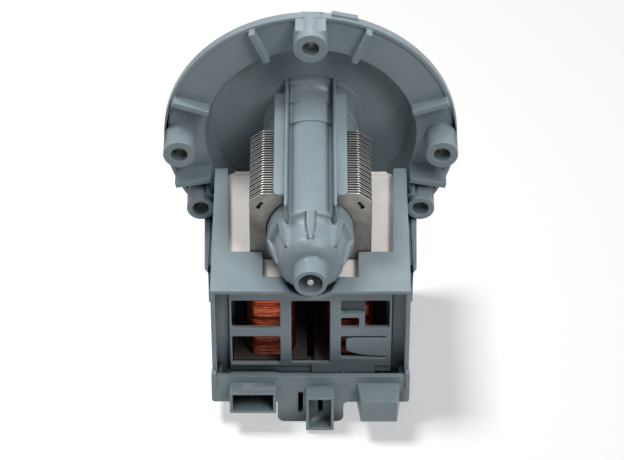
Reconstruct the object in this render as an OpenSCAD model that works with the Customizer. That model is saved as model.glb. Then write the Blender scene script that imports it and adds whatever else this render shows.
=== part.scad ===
// Washer drain pump, motor side and impeller side. The rotor axis is the Y axis. The zero plane y = 0
// lies just in front of the flange, the impeller is on the +Y side, the motor on the -Y side, Z points up.

/* [Flange] */
// Diameter of the sealing spigot in front of the flange
spigot_d = 82; // [78:0.1:88]
// Distance from the spigot to the circle of the screw bosses
boss_margin = 6.25; // [6:0.05:7]
// Distance from the circle of the screw bosses to the flange's edge
edge_margin = 5.9; // [5.4:0.1:7]
// Thickness of the flange plate
flange_t = 2.6; // [2:0.1:3.4]
// Radial width of the rim at the flange's edge
rim_w = 1.6; // [1.2:0.1:2.4]
// How far the rim stands behind the plate
rim_back = 0.8; // [0.4:0.1:1.6]
// How far the flange's front face lies behind the zero plane
face_setback = 1.5; // [1:0.1:2.5]
// Wall of the spigot at the flange plate
spigot_wall = 2.7; // [2.4:0.1:3.6]
// How far the dish narrows on each side down to its floor
dish_draft = 2.4; // [1:0.1:4]
// Depth of the dish below the plate
dish_depth = 9.3; // [7:0.1:11]
// Thickness of the dish floor
dish_floor_t = 3.2; // [2.8:0.1:4.5]
// Section diameter of the flange seal
seal_d = 2.6; // [2.4:0.1:2.8]
// How far the flange seal stands proud of the spigot once it is squeezed in its bore
seal_proud = 0.2; // [0.1:0.05:0.6]

/* [Screw bosses] */
// Length of the bosses behind the plate
boss_len = 11.7; // [9:0.1:14]
// Diameter of the top boss
top_boss_d = 12.2; // [11:0.1:12.6]
// Diameter of the two side bosses
side_boss_d = 11.7; // [10:0.1:12.4]
// Diameter of the two lower bosses
low_boss_d = 10.3; // [9:0.05:10.4]
// Diameter of the screw holes
screw_hole_d = 5.9; // [4.5:0.1:6.4]
// Angle of the lower bosses below the horizontal
low_boss_angle = 32; // [30:0.5:34]

/* [Flange ribs] */
// Angle of the two upper ribs from the top boss
upper_rib_angle = 23.5; // [18:0.5:30]
// Angle of the two side ribs above the horizontal
side_rib_angle = 19; // [15:0.5:26]
// Angle of the two long ribs below the horizontal
long_rib_angle = 19.5; // [18:0.5:20.5]
// Thickness of the short ribs
rib_t = 2.3; // [1.6:0.1:3]
// Height of the short ribs behind the plate
rib_h = 4.3; // [3:0.1:7]
// Thickness of the long ribs
long_rib_t = 2.6; // [1.8:0.1:3.2]
// Height of the long ribs behind the plate
long_rib_h = 7.7; // [6:0.1:9]

/* [Rotor can] */
// Inner diameter of the can
can_bore_d = 28; // [27.6:0.1:28.6]
// Wall of the can in the core's bore
can_wall = 1.2; // [1:0.05:1.4]
// Wall added at each of the two steps at the can's root
can_step = 1.0; // [0.6:0.1:1.4]
// Thickness of the can's end behind the rotor
can_end_wall = 2.8; // [2:0.1:3.6]
// Length of the nose behind the can
nose_len = 22.2; // [20:0.1:26]
// Length of the nose cylinder behind the dome
nose_cyl_len = 7.2; // [5:0.1:7.2]
// Diameter of the nose cylinder
nose_d = 12.0; // [11:0.1:13]
// Diameter of the hole in the nose tip
nose_hole_d = 8.2; // [7:0.1:8.8]
// Depth of the hole in the nose tip
nose_hole_depth = 5.7; // [4:0.1:6.2]
// Diameter of the cone behind the can's shoulder
cone_d = 25.6; // [24:0.1:27]
// Diameter of the cone where the dome begins
cone_end_d = 23.0; // [21:0.1:24]
// Length of the cone
cone_len = 8; // [6:0.1:9]
// Thickness of the nose ribs
nose_rib_t = 2.8; // [1.4:0.1:3.2]
// Thickness of the upright fins on the can
fin_t = 1.5; // [1.2:0.1:2]
// Distance between the fins' inner faces
fin_gap = 15.4; // [14:0.1:16]
// Height of the fins above the wings
fin_rise = 0.65; // [0.3:0.05:3]
// Clearance between the fins and the poles
fin_clear = 0.4; // [0.3:0.05:0.8]
// Thickness of the flat wings over the core
wing_t = 1.5; // [1.2:0.1:1.8]
// Width over both wings
wing_w = 25.8; // [24:0.1:30]

/* [Side arms] */
// Thickness of the arm plates
arm_t = 1.8; // [1.4:0.1:2.2]
// How far the arms reach behind the zero plane
arm_len = 42.5; // [38:0.1:48]
// Height of the arm plates
arm_h = 19.4; // [17:0.1:22]
// Width of the outer strip along the arm's top
arm_strip_w = 2.2; // [1.4:0.1:2.6]
// Clearance between an arm and the cover
arm_clear = 0.5; // [0.4:0.05:0.8]

/* [Core] */
// Length of the laminated stack
stack_len = 36; // [34:0.5:38]
// Distance from the zero plane to the stack
stack_front = 21.5; // [20:0.1:22.5]
// Clearance between the can and the core's bore
bore_clear = 0.3; // [0.2:0.05:0.4]
// Height of the core's flat top above the rotor axis
core_top_z = 16.4; // [16.2:0.05:17]
// Half the core's width
core_half_w = 21.2; // [20.4:0.1:22]
// Width of the chamfer at the core's upper corners
core_chamfer_w = 4.4; // [3:0.1:5]
// Height of the chamfer at the core's upper corners
core_chamfer_h = 3.3; // [2:0.1:4]
// Width of each leg
leg_w = 8.6; // [8:0.1:9.4]
// Distance from the rotor axis to the middle of each leg
leg_x = 14; // [13.8:0.1:14.6]

/* [Bobbins and coils] */
// Thickness of the bobbins' flanges
bobbin_flange_t = 1.8; // [1.4:0.1:2.2]
// Wall of the bobbin tube round the leg
bobbin_wall = 1.2; // [1:0.1:1.4]
// Clear height between the bobbin's flanges
winding_h = 34.6; // [32:0.1:36]
// Reach of the bobbin flanges beyond the stack
bobbin_overhang = 12.0; // [11.4:0.1:12.4]
// Gap between the bobbins' top flange and the cover's side
bobbin_side_gap = 2.9; // [2:0.1:4]
// Half the gap between the two bobbins
bobbin_gap_half = 1.25; // [0.8:0.05:1.6]
// Reach of the winding beyond the stack
winding_overhang = 10.8; // [10:0.1:11.4]
// Width of each coil
coil_w = 17.5; // [17:0.1:18]
// Corner radius of the winding's middle line
winding_corner_r = 4.6; // [4:0.1:5.4]
// Diameter of the drawn winding wire
wire_d = 1.6; // [1.4:0.05:1.65]
// Number of turns drawn in the outer layer
wire_turns = 15; // [10:1:15]

/* [Coil cover] */
// Wall of the coil cover
cover_wall = 1.6; // [1.4:0.05:1.9]
// Height of the cover's deck above the bobbins
deck_rise = 3.8; // [3:0.1:5]
// Distance from the zero plane to the cover's front edge
cover_front = 11.4; // [11:0.1:13]
// Width of the deck beside the opening, at the opening's rear
deck_side_rear = 6.0; // [5:0.1:9]
// Width of the deck beside the opening, at its front
deck_side_front = 4.7; // [3:0.1:5]
// Width of the deck behind the notch
deck_rear_bar = 7.8; // [6:0.1:9]
// Half the width of the notch behind the deck opening
notch_half = 16.6; // [15:0.1:18]
// Clearance between the nose ribs and the saddle under them
saddle_clear = 0.35; // [0.3:0.05:0.8]

/* [Window plate] */
// Width of the open channel on each side of the window plate
channel_w = 4.5; // [3.6:0.1:6]
// Thickness of the window plate
plate_t = 1.6; // [1.2:0.1:2]
// How far the window plate is set back from the cover's rear edge
plate_setback = 5.5; // [4.5:0.1:5.8]
// Height of the window plate's lower edge above the cover's floor
plate_rise = 10.6; // [9:0.1:12]
// Height of the two lower windows
low_window_h = 12.8; // [11:0.1:14]
// Height of the bar between the lower and the upper windows
mid_bar_h = 4.1; // [3:0.1:5]
// Half the width of the middle window
mid_window_half = 6.8; // [5:0.1:8]
// Distance from the middle to the inner edge of the side windows
window_in_x = 10.7; // [10:0.1:12]
// Width of the thin border at the plate's sides
plate_border = 0.9; // [0.8:0.1:1.6]

/* [Connector] */
// How far the connector plate stands out beside the cover
conn_proud = 0.4; // [0:0.05:0.8]
// Thickness of the connector plate
conn_t = 1.8; // [1.4:0.1:2]
// Height of the connector plate at its sides
conn_side_h = 12.5; // [12:0.1:13.5]
// Height of the connector plate in its middle
conn_mid_h = 22.2; // [21.8:0.1:23]
// Half the width of the plate's deep middle part
conn_mid_half = 11.7; // [11.2:0.1:12]
// Wall of the sockets
socket_wall = 1.05; // [1:0.05:1.5]
// Width of the left socket
left_socket_w = 16.4; // [15:0.1:17]
// Height of the left socket
left_socket_h = 9.8; // [9:0.1:10]
// How far the left socket stands out
left_socket_out = 5.4; // [4.6:0.1:8]
// Width of the centre socket
mid_socket_w = 9.9; // [9:0.1:11]
// Height of the centre socket
mid_socket_h = 15.8; // [15:0.1:16.4]
// How far the centre socket stands out
mid_socket_out = 6; // [5:0.1:8]
// Width of the solid block at its foot
block_w = 15.3; // [13:0.1:16]
// Height of the solid block
block_h = 9.7; // [8:0.1:10]
// How far the solid block stands out
block_out = 9.7; // [8:0.1:11]
// Depth of the terminal chamber
chamber_depth = 13.2; // [11:0.1:16]
// Distance between the two terminals
terminal_pitch = 7; // [6.4:0.1:7.2]
// Width of the terminal blades
terminal_w = 6.3; // [4.8:0.1:6.3]
// Thickness of the terminal blades
terminal_t = 0.8; // [0.5:0.05:1]

/* [Rotor and bearings] */
// Diameter of the shaft
shaft_d = 4; // [3.5:0.1:4.4]
// Running clearance round the shaft
shaft_clear = 0.04; // [0.02:0.01:0.09]
// Outer diameter of the bearing bushes
bush_d = 8.4; // [7.8:0.1:9]
// Gap between the magnet and the can
magnet_gap = 0.8; // [0.5:0.05:1]
// Inner diameter of the magnet
magnet_bore_d = 12; // [11:0.1:13]
// How far the magnet is longer than the stack
magnet_extra = 2.6; // [1:0.1:3]
// Outer diameter of the rear bearing's cushion
cushion_d = 17.2; // [16:0.1:17.8]
// Length of the rear bearing's cushion
cushion_len = 9; // [8:0.1:9.6]
// Diameter of the thrust pin in the nose
thrust_pin_d = 2.4; // [1.8:0.1:3]

/* [Impeller] */
// Diameter of the impeller
impeller_d = 44; // [38:0.5:50]
// Length of the impeller's vanes
vane_len = 13.2; // [10:0.1:14]
// Thickness of the vanes
vane_t = 1.6; // [1.2:0.1:2.2]
// Number of vanes
vane_count = 6; // [4:1:8]
// Outer diameter of the impeller's hub
hub_d = 17.6; // [17:0.1:19]
// Wall of the impeller's hub
hub_wall = 1.8; // [1.4:0.1:2]
// Angle that the drive dog fills, and the impeller's tooth too
dog_angle = 60; // [40:1:70]

/* [Hidden] */

$fn = 72;
grey_plastic = "#87949a";
cream_nylon = "#ddd5cd";
copper_enamel = "#b8562a";
core_steel = "#8a837c";
bright_steel = "#c9cbcd";
black_rubber = "#26282a";
bronze = "#a7793f";
magnet_black = "#3a3a3c";
white_resin = "#d8dadb";

eps = 0.01;
cut = 1;
press_clear = 0.03;
seat_clear = 0.1;
touch = 0.02;

// Flange, behind the zero plane y = 0
spigot_r = spigot_d / 2;
boss_circle_r = spigot_r + boss_margin;
flange_r = boss_circle_r + edge_margin;
dish_r = spigot_r - spigot_wall;
dish_floor_r = dish_r - dish_draft;
plate_front_y = -face_setback;
plate_back_y = plate_front_y - flange_t;
rim_back_y = plate_back_y - rim_back;
boss_end_y = plate_back_y - boss_len;
dish_floor_y = plate_back_y + dish_depth;
face_y = dish_floor_y + dish_floor_t;
rib_setback = 0.4;
long_rib_turn = 9;
boss_web_drop = 3.6;
boss_web_setback = 0.4;
boss_web_narrow = 0.6;
floor_ring_h = 0.5;
floor_ring_r = 20;
lug_angle = 77;
lug_w = 9.5;
lug_h = 1;
lug_len = 2.2;

// Seal groove in the spigot
groove_y = 1.0;
groove_w = seal_d + 2 * seat_clear;
groove_r = spigot_r + seal_proud - seal_d - seat_clear / 2;
spigot_chamfer = 0.5;

// Can, from its root to the core's bore
can_bore_r = can_bore_d / 2;
can_r = can_bore_r + can_wall;
core_bore_r = can_r + bore_clear;
stack_front_y = -stack_front;
stack_back_y = stack_front_y - stack_len;
stack_mid_y = (stack_front_y + stack_back_y) / 2;
can_step_from_stack = 5.8;
can_root_setback = 0.9;
can_step_y = stack_front_y + can_step_from_stack;
can_root_y = plate_back_y - can_root_setback;
mouth_step = 1.4;
mouth_setback = 0.9;
mouth_r = can_bore_r + mouth_step;
mouth_y = plate_back_y + mouth_setback;
carrier_flange_w = 3.2;
carrier_seat_r = mouth_r + carrier_flange_w;
carrier_seat_depth = 1.6;

// Bobbins and legs, below the can
can_sink = 0.1;
pole_clear = 0.3;
leg_proud = 0.2;
yoke_clear = 0.08;
flange_in_z = can_sink - can_r;
flange_top_z = flange_in_z + bobbin_flange_t;
pole_low_z = flange_top_z + pole_clear;
low_flange_z = flange_in_z - winding_h;
low_flange_end_z = low_flange_z - bobbin_flange_t;
leg_end_z = low_flange_end_z - leg_proud;
yoke_top_z = leg_end_z - touch;
yoke_low_z = yoke_top_z - leg_w;
bobbin_rear_y = stack_back_y - bobbin_overhang;
bobbin_front_y = stack_front_y + bobbin_overhang;
bobbin_corner_r = 2.5;
bobbin_low_cut = 2.6;
lip_w = 1.4;
lip_h = 0.8;
interlock_depth = 1.5;
interlock_in = 3.6;
interlock_drop = 5.2;
interlock_turn = 37;
interlock_w = 1.2;
interlock_len = 3.4;
interlock_foot = 1.6;

// Coils
coil_in = leg_w / 2 + seat_clear + bobbin_wall;
coil_half_x = coil_w / 2;
coil_half_y = stack_len / 2 + winding_overhang;
turn_half_x = coil_half_x - wire_d / 2;
turn_half_y = coil_half_y - wire_d / 2;
turn_clear = 0.2;
winding_half_x = coil_half_x - wire_d - turn_clear;
winding_half_y = coil_half_y - wire_d - turn_clear;
turn_edge = wire_d / 2 + seat_clear;
turn_z0 = low_flange_z + turn_edge;
turn_top_room = 0.3;
turn_pitch = (winding_h - 2 * turn_edge - turn_top_room) / wire_turns;
wire_bend_r = 1.6;
lead_room = 0.8;
lead_notch = wire_d + lead_room;

// Rotor and bearings
shaft_r = shaft_d / 2;
running_r = shaft_r + shaft_clear;
bush_r = bush_d / 2;
cushion_r = cushion_d / 2;
pocket_r = cushion_r + seat_clear;
magnet_r = can_bore_r - magnet_gap;
magnet_bore_r = magnet_bore_d / 2;
magnet_back_y = stack_back_y - magnet_extra / 2;
magnet_front_y = stack_front_y + magnet_extra / 2;
magnet_edge = 0.5;
sleeve_disc_t = 1.2;
sleeve_disc_r = magnet_r - 1;
sleeve_hub_r = 5;
hub_end_gap = 0.4;
rotor_end_gap = 1.2;
pocket_lead = 1.2;
chamber_end_y = magnet_back_y - sleeve_disc_t - rotor_end_gap;
pocket_y = chamber_end_y - pocket_lead;
pocket_end_y = pocket_y - cushion_len - 2 * seat_clear;
shaft_room_r = shaft_r + 0.6;
shaft_room_len = 4.6;
shaft_end_gap = 0.4;
shaft_edge = 0.4;
pin_y = pocket_end_y - shaft_room_len;
shaft_rear_y = pin_y + shaft_end_gap;
pin_r = thrust_pin_d / 2;
pin_edge = 0.3;
rear_bush_y = pocket_end_y + 2 * seat_clear;
rear_bush_front_y = pocket_y + seat_clear;
sleeve_back_y = rear_bush_front_y + hub_end_gap;
carrier_proud = 1.2;
carrier_edge = 0.6;
carrier_back_y = mouth_y + 2 * seat_clear;
carrier_face_y = face_y + carrier_proud;
carrier_seat_y = face_y - carrier_seat_depth;
carrier_r = mouth_r - seat_clear;
carrier_seal_d = 1.9;
carrier_groove_setback = 3.8;
carrier_groove_y = mouth_y + carrier_groove_setback;
carrier_groove_w = carrier_seal_d + 2 * seat_clear;
carrier_groove_r = mouth_r - carrier_seal_d - seat_clear / 2;
carrier_hub_wall = 2;
carrier_ring_wall = 1.4;
carrier_hub_r = bush_r + carrier_hub_wall;
carrier_ring_r = carrier_groove_r - carrier_ring_wall;
collar_t = 1.3;
collar_w = 1.2;
collar_y = carrier_back_y - seat_clear / 2;
collar_end_y = collar_y - collar_t;
sleeve_front_y = collar_end_y - hub_end_gap;

// Nose behind the can
can_round = 2;
nose_edge = 0.3;
nose_draft = 0.2;
pin_setback = 0.6;
can_end_y = chamber_end_y - can_end_wall;
shoulder_y = can_end_y - can_round;
dome_y = shoulder_y - cone_len;
nose_tip_y = can_end_y - nose_len;
nose_y = nose_tip_y + nose_cyl_len;
nose_r = nose_d / 2;
nose_root_r = nose_r + nose_draft;
cone_end_r = cone_end_d / 2;
nose_hole_y = nose_tip_y + nose_hole_depth;
pin_tip_y = nose_tip_y + pin_setback;
nose_rib_h = 0.3;
nose_rib_tip_t = 1;
nose_rib_lead = 1;
nose_rib_root_r = cone_end_r - 2;
nose_rib_high_r = can_r - 0.3;
nose_rib_end_r = cone_end_r + nose_rib_h;
nose_rib_high_y = can_end_y - nose_rib_lead;
nose_rib_end_y = dome_y - 1.5;

// Fins and wings on the can
fin_in = fin_gap / 2;
fin_out = fin_in + fin_t;
pole_gap_half = fin_out + fin_clear;
wing_lift = 0.2;
wing_setback = 1.1;
wing_overhang = 2.4;
wing_z = core_top_z + wing_lift;
fin_z = wing_z + wing_t + fin_rise;
wing_front_y = plate_back_y + wing_setback;
wing_end_y = stack_back_y - wing_overhang;
wing_corner_r = 1.8;

// Side arms, flush with the lower bosses' inner edge
arm_sink = 0.275;
arm_drop = 0.2;
arm_in = boss_circle_r * cos(low_boss_angle) - low_boss_d / 2 + arm_sink;
arm_out = arm_in + arm_t;
low_boss_z = -boss_circle_r * sin(low_boss_angle);
arm_top_z = low_boss_z - low_boss_d / 2 - arm_drop;
arm_low_z = arm_top_z - arm_h;
arm_end_y = -arm_len;
arm_corner = 3;
strip_h = 2.6;
strip_drop = 0.6;
strip_bevel = 2;
strip_point = 1.6;
strip_in = 0.4;
strip_taper = 1;
web_setback = 2;
web_drop = 1;
web_out = 1.2;
web_mid_rise = 5.2;
web_top_rise = 9;
catch_from_end = 8;
catch_y = arm_end_y + catch_from_end;
catch_len = 5;
catch_h = 6;
catch_rise = 9;
catch_z = arm_low_z + catch_rise;
catch_clear = 0.4;
catch_proud = 1.1;

// Cover, inside the arms, from the bobbins and the yoke
cover_half = arm_in - arm_clear;
cover_in = cover_half - cover_wall;
deck_z = flange_top_z + deck_rise;
deck_under_z = deck_z - cover_wall;
cover_floor_z = yoke_low_z - yoke_clear;
cover_low_z = cover_floor_z - cover_wall;
channel_gap = 0.2;
plate_gap = 0.6;
channel_front_y = bobbin_rear_y - channel_gap;
channel_floor_y = channel_front_y - cover_wall;
plate_front_face_y = channel_floor_y - plate_gap;
plate_back_face_y = plate_front_face_y - plate_t;
cover_rear_y = plate_back_face_y - plate_setback;
cover_front_y = -cover_front;
deck_gap = 0.3;
deck_rear_y = stack_back_y - deck_gap;
notch_rear_y = cover_rear_y + deck_rear_bar;
deck_half_rear = cover_half - deck_side_rear;
deck_half_front = cover_half - deck_side_front;
bobbin_outer_x = cover_in - bobbin_side_gap;
chamber_clear = 0.4;

// Saddle, a cone round the nose ribs
saddle_r = nose_rib_end_r + seat_clear;
saddle_slope = (nose_rib_high_r - nose_rib_end_r) / (nose_rib_high_y - nose_rib_end_y);
saddle_front_r = nose_rib_end_r + saddle_slope * (notch_rear_y - nose_rib_end_y) + saddle_clear;

// Window plate
plate_half_w = cover_in - channel_w;
plate_top_gap = 0.2;
plate_top_border = 7.5;
plate_low_border = 1.4;
plate_top_z = deck_under_z - plate_top_gap;
plate_low_z = cover_floor_z + plate_rise;
window_edge_x = plate_half_w - plate_border;
window_top_z = plate_top_z - plate_top_border;
window_low_z = plate_low_z + plate_low_border;
window_mid_lo_z = window_low_z + low_window_h;
window_mid_hi_z = window_mid_lo_z + mid_bar_h;
bar_t = 2.1;
small_window_w = 6.3;
bar_x = window_in_x + small_window_w;
bar_drop = 6;
bar_z = window_top_z - bar_drop;
tongue_root_setback = 1.2;
tongue_low_gap = 2.6;
tongue_slot = 0.7;
tongue_tip_gap = 1.8;
tongue_tip_h = 0.9;
tongue_tip_w = 2.1;
tongue_curve_h = 3.5;
tongue_root_x = window_edge_x - tongue_root_setback;
tongue_low_z = window_low_z + tongue_low_gap;
tongue_tip_x = window_in_x + tongue_tip_gap;

// Connector
conn_gap = 0.2;
conn_overlap = 2.1;
conn_half = cover_half + conn_proud;
conn_front_y = cover_rear_y - conn_gap;
conn_rear_y = conn_front_y - conn_t;
conn_top_z = plate_low_z + conn_overlap;
conn_side_z = conn_top_z - conn_side_h;
conn_low_z = conn_top_z - conn_mid_h;
conn_corner_r = 2.5;
conn_round = 1.1;
fillet_r = 2.2;
ledge_t = 1.6;
tab_x0 = 0.2;
tab_x1 = 22.9;
tab_h = 3.3;
foot_t = 0.8;
foot_h = 3.3;
panel_t = 0.9;
panel_lap = 0.8;
terminal_x = terminal_pitch / 2;
terminal_rise = 9.55;
terminal_z = conn_low_z + terminal_rise;
slot_w = 1.6;
slot_h = 9.7;
socket_drop = 3.2;
socket_top_z = conn_top_z - socket_drop;
left_socket_inset = 14.7;
left_socket_x = left_socket_inset - conn_half;
left_socket_in = 4.2;
left_socket_back_wall = 1.4;
left_socket_back_y = conn_front_y + left_socket_in;
mid_socket_shift = 0.2;
mid_socket_x = terminal_x - mid_socket_shift;
mid_socket_drop = 5;
mid_socket_top_z = conn_top_z - mid_socket_drop;
block_inset = 11;
block_x = conn_half - block_inset;
block_drop = 3.3;
block_top_z = conn_top_z - block_drop;
block_taper = 1.25;
prong_t = 1.6;
prong_len = 7.4;
prong_rise = 3;
prong_drop = 2.2;
chamber_y = conn_front_y + chamber_depth;
chamber_wall = 1.6;
chamber_drop = 5.6;
chamber_top_z = conn_top_z - chamber_drop;
ledge_z = chamber_top_z;
chamber_end_out_y = chamber_y + chamber_wall;
terminal_setback = 5;
terminal_tail = 2.2;
tail_h = 2;
tail_z = cover_floor_z + chamber_clear;
terminal_clear = 0.05;
terminal_rear_y = conn_front_y + terminal_setback;
terminal_front_y = chamber_end_out_y + terminal_tail;

// Impeller
washer_t = 1.1;
washer_r = 5;
washer_bore_r = shaft_r + 0.3;
washer_y = carrier_face_y + seat_clear;
impeller_y = washer_y + washer_t + 2 * seat_clear;
disc_t = 1.6;
hub_back_t = 2;
hub_r = hub_d / 2;
hub_in_r = hub_r - hub_wall;
chamber_len = 14.8;
hub_end_y = impeller_y + hub_back_t + chamber_len;
cap_spigot_len = 1.8;
dog_wall = 1.6;
dog_gap = 0.4;
dog_end_gap = 0.5;
dog_ring_r = shaft_r + dog_wall;
dog_tip_r = hub_in_r - dog_gap;
tooth_gap = 0.6;
tooth_in_r = dog_ring_r + tooth_gap;
dog_y = impeller_y + hub_back_t + dog_end_gap;
dog_end_y = hub_end_y - cap_spigot_len - dog_end_gap;
shaft_proud = 1.2;
shaft_front_y = dog_end_y + shaft_proud;
cap_shaft_gap = 0.6;
cap_y = hub_end_y + touch;
cap_rim = 1;
cap_len = 5;

function arc(cx, cy, rx, ry, a0, a1, n) =
    [for (i = [0 : n]) let (a = a0 + (a1 - a0) * i / n) [cx + rx * cos(a), cy + ry * sin(a)]];

// Rounded outline, corner by corner from the right
function rounded_outline(hx, hy, r, n) = concat(
    arc(hx - r, hy - r, r, r, 0, 90, n), arc(r - hx, hy - r, r, r, 90, 180, n),
    arc(r - hx, r - hy, r, r, 180, 270, n), arc(hx - r, r - hy, r, r, 270, 360, n));

// Solid turned about the rotor axis, from points of radius and y
module turned(points) rotate([-90, 0, 0]) rotate_extrude() polygon(points);

// Round rod along the rotor axis
module rod(r, y0, y1) translate([0, y0, 0]) rotate([-90, 0, 0]) cylinder(r = r, h = y1 - y0);

module block(x0, x1, y0, y1, z0, z1) translate([x0, y0, z0]) cube([x1 - x0, y1 - y0, z1 - z0]);

// Outline in x and z, drawn out along y
module along_y(y0, y1) translate([0, y1, 0]) rotate([90, 0, 0]) linear_extrude(y1 - y0) children();

// Outline in y and z, drawn out along x
module along_x(x0, x1) translate([x0, 0, 0]) rotate([90, 0, 90]) linear_extrude(x1 - x0) children();

module both_sides() {
    children();
    mirror([1, 0, 0]) children();
}

// Turns its children about the rotor axis, from the horizontal up
module at_angle(a) rotate([0, -a, 0]) children();

module boss(a, d) at_angle(a) translate([boss_circle_r, 0, 0]) rod(d / 2, boss_end_y, plate_front_y - eps);

module flange_rib(a, t, h) at_angle(a)
    block(dish_r + rib_setback, flange_r - rim_w / 2, plate_back_y - h, plate_back_y + eps, -t / 2, t / 2);

// Long rib, turned about its outer end so that it lies flatter than a spoke
module long_rib() at_angle(-long_rib_angle) translate([flange_r - rim_w / 2, 0, 0]) at_angle(long_rib_turn)
    block(dish_r + rib_setback - flange_r + rim_w / 2, 0, plate_back_y - long_rib_h, plate_back_y + eps,
          -long_rib_t / 2, long_rib_t / 2);

module housing_shell() turned(concat(
    [[0, nose_tip_y], [nose_r - nose_edge, nose_tip_y], [nose_root_r, nose_y]],
    arc(nose_root_r, dome_y, cone_end_r - nose_root_r, dome_y - nose_y, -90, 0, 8),
    [[cone_d / 2, shoulder_y]],
    arc(can_r - can_round, can_end_y, can_round, can_round, -60, 0, 5),
    [[can_r, can_step_y], [can_r + can_step, can_step_y], [can_r + can_step, can_root_y],
     [can_r + 2 * can_step, can_root_y], [can_r + 2 * can_step, dish_floor_y - floor_ring_h],
     [floor_ring_r, dish_floor_y - floor_ring_h], [floor_ring_r, dish_floor_y],
     [dish_floor_r, dish_floor_y], [dish_r, plate_back_y],
     [flange_r - rim_w, plate_back_y], [flange_r - rim_w, rim_back_y], [flange_r, rim_back_y],
     [flange_r, plate_front_y], [spigot_r, plate_front_y], [spigot_r, groove_y], [groove_r, groove_y],
     [groove_r, groove_y + groove_w], [spigot_r, groove_y + groove_w],
     [spigot_r, face_y - spigot_chamfer], [spigot_r - spigot_chamfer, face_y], [0, face_y]]));

module housing_room() {
    turned([[0, face_y + cut], [carrier_seat_r, face_y + cut], [carrier_seat_r, carrier_seat_y],
            [mouth_r, carrier_seat_y], [mouth_r, mouth_y], [can_bore_r, mouth_y],
            [can_bore_r, chamber_end_y], [pocket_r, pocket_y], [pocket_r, pocket_end_y],
            [shaft_room_r, pocket_end_y], [shaft_room_r, pin_y], [0, pin_y]]);
    rod(pin_r + press_clear, nose_hole_y - cut, pin_y + cut);
    rod(nose_hole_d / 2, nose_tip_y - cut, nose_hole_y);
}

module nose_rib() intersection() {
    translate([0, 0, -nose_rib_t / 2]) linear_extrude(nose_rib_t)
        polygon([[nose_rib_root_r, can_end_y + nose_rib_lead],
                 [can_r - can_round / 4, can_end_y + nose_rib_lead], [nose_rib_high_r, nose_rib_high_y],
                 [nose_rib_end_r, nose_rib_end_y], [nose_rib_root_r, nose_rib_end_y]]);
    // Narrower towards the tip
    along_x(0, can_r + cut) polygon([
        [nose_rib_end_y - cut, -nose_rib_tip_t / 2], [nose_rib_end_y - cut, nose_rib_tip_t / 2],
        [can_end_y + nose_rib_lead + cut, nose_rib_t / 2 + cut],
        [can_end_y + nose_rib_lead + cut, -nose_rib_t / 2 - cut]]);
}

module wing() translate([0, 0, wing_z]) linear_extrude(wing_t) polygon(concat(
    [[fin_in, wing_front_y], [fin_in, wing_end_y]],
    arc(wing_w / 2 - wing_corner_r, wing_end_y + wing_corner_r, wing_corner_r, wing_corner_r, -90, 0, 5),
    [[wing_w / 2, wing_front_y]]));

module arm() difference() {
    union() {
        along_x(arm_in, arm_out) polygon([
            [plate_back_y + eps, arm_top_z - strip_drop], [plate_back_y + eps, arm_low_z],
            [arm_end_y + arm_corner, arm_low_z], [arm_end_y, arm_low_z + arm_corner],
            [arm_end_y, arm_top_z - strip_h], [arm_end_y + strip_bevel, arm_top_z - strip_drop]]);
        translate([0, 0, arm_top_z - strip_h]) linear_extrude(strip_h) polygon([
            [arm_out - strip_in, plate_back_y + eps], [arm_out - strip_in, arm_end_y], [arm_out, arm_end_y],
            [arm_out + arm_strip_w - strip_taper, arm_end_y + strip_point],
            [arm_out + arm_strip_w, plate_back_y + eps]]);
        // Web from the arm past the lower boss, lower towards the boss's end
        along_x(arm_in, arm_out + web_out) polygon([
            [plate_back_y + eps, arm_top_z - web_drop], [plate_back_y + eps, low_boss_z + web_top_rise],
            [boss_end_y + web_setback, low_boss_z + web_mid_rise],
            [boss_end_y + web_setback, arm_top_z - web_drop]]);
    }
    // Window that the cover's catch sits in
    block(arm_in - cut, arm_out + cut, catch_y - catch_clear, catch_y + catch_len + catch_clear,
          catch_z - catch_clear, catch_z + catch_h + catch_clear);
}

module rotor_housing() color(grey_plastic) difference() {
    union() {
        housing_shell();
        boss(90, top_boss_d);
        at_angle(90) block(boss_circle_r, flange_r - boss_web_setback, boss_end_y + boss_web_drop,
                           plate_back_y + eps, boss_web_narrow - top_boss_d / 2,
                           top_boss_d / 2 - boss_web_narrow);
        for (a = [0, 180]) boss(a, side_boss_d);
        for (a = [-low_boss_angle, 180 + low_boss_angle]) boss(a, low_boss_d);
        for (a = [90 - upper_rib_angle, 90 + upper_rib_angle, side_rib_angle, 180 - side_rib_angle])
            flange_rib(a, rib_t, rib_h);
        both_sides() long_rib();
        for (i = [0 : 7]) at_angle(45 * i) nose_rib();
        at_angle(lug_angle) block(flange_r - rim_w / 2, flange_r + lug_h, plate_front_y - lug_len,
                                  plate_front_y, -lug_w / 2, lug_w / 2);
        both_sides() {
            block(fin_in, fin_out, shoulder_y, dish_floor_y + eps, 0, fin_z);
            wing();
            arm();
        }
    }
    housing_room();
    for (a = [0, 90, 180, -low_boss_angle, 180 + low_boss_angle])
        at_angle(a) translate([boss_circle_r, 0, 0]) rod(screw_hole_d / 2, boss_end_y - cut, cut);
}

// O-ring from the radius of its middle line, its section and its place
module o_ring(r, d, y) translate([0, y, 0]) rotate([-90, 0, 0])
    rotate_extrude() translate([r, 0]) circle(d = d, $fn = 32);

module flange_seal() color(black_rubber)
    o_ring(groove_r + seat_clear / 2 + seal_d / 2, seal_d, groove_y + groove_w / 2);

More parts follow.
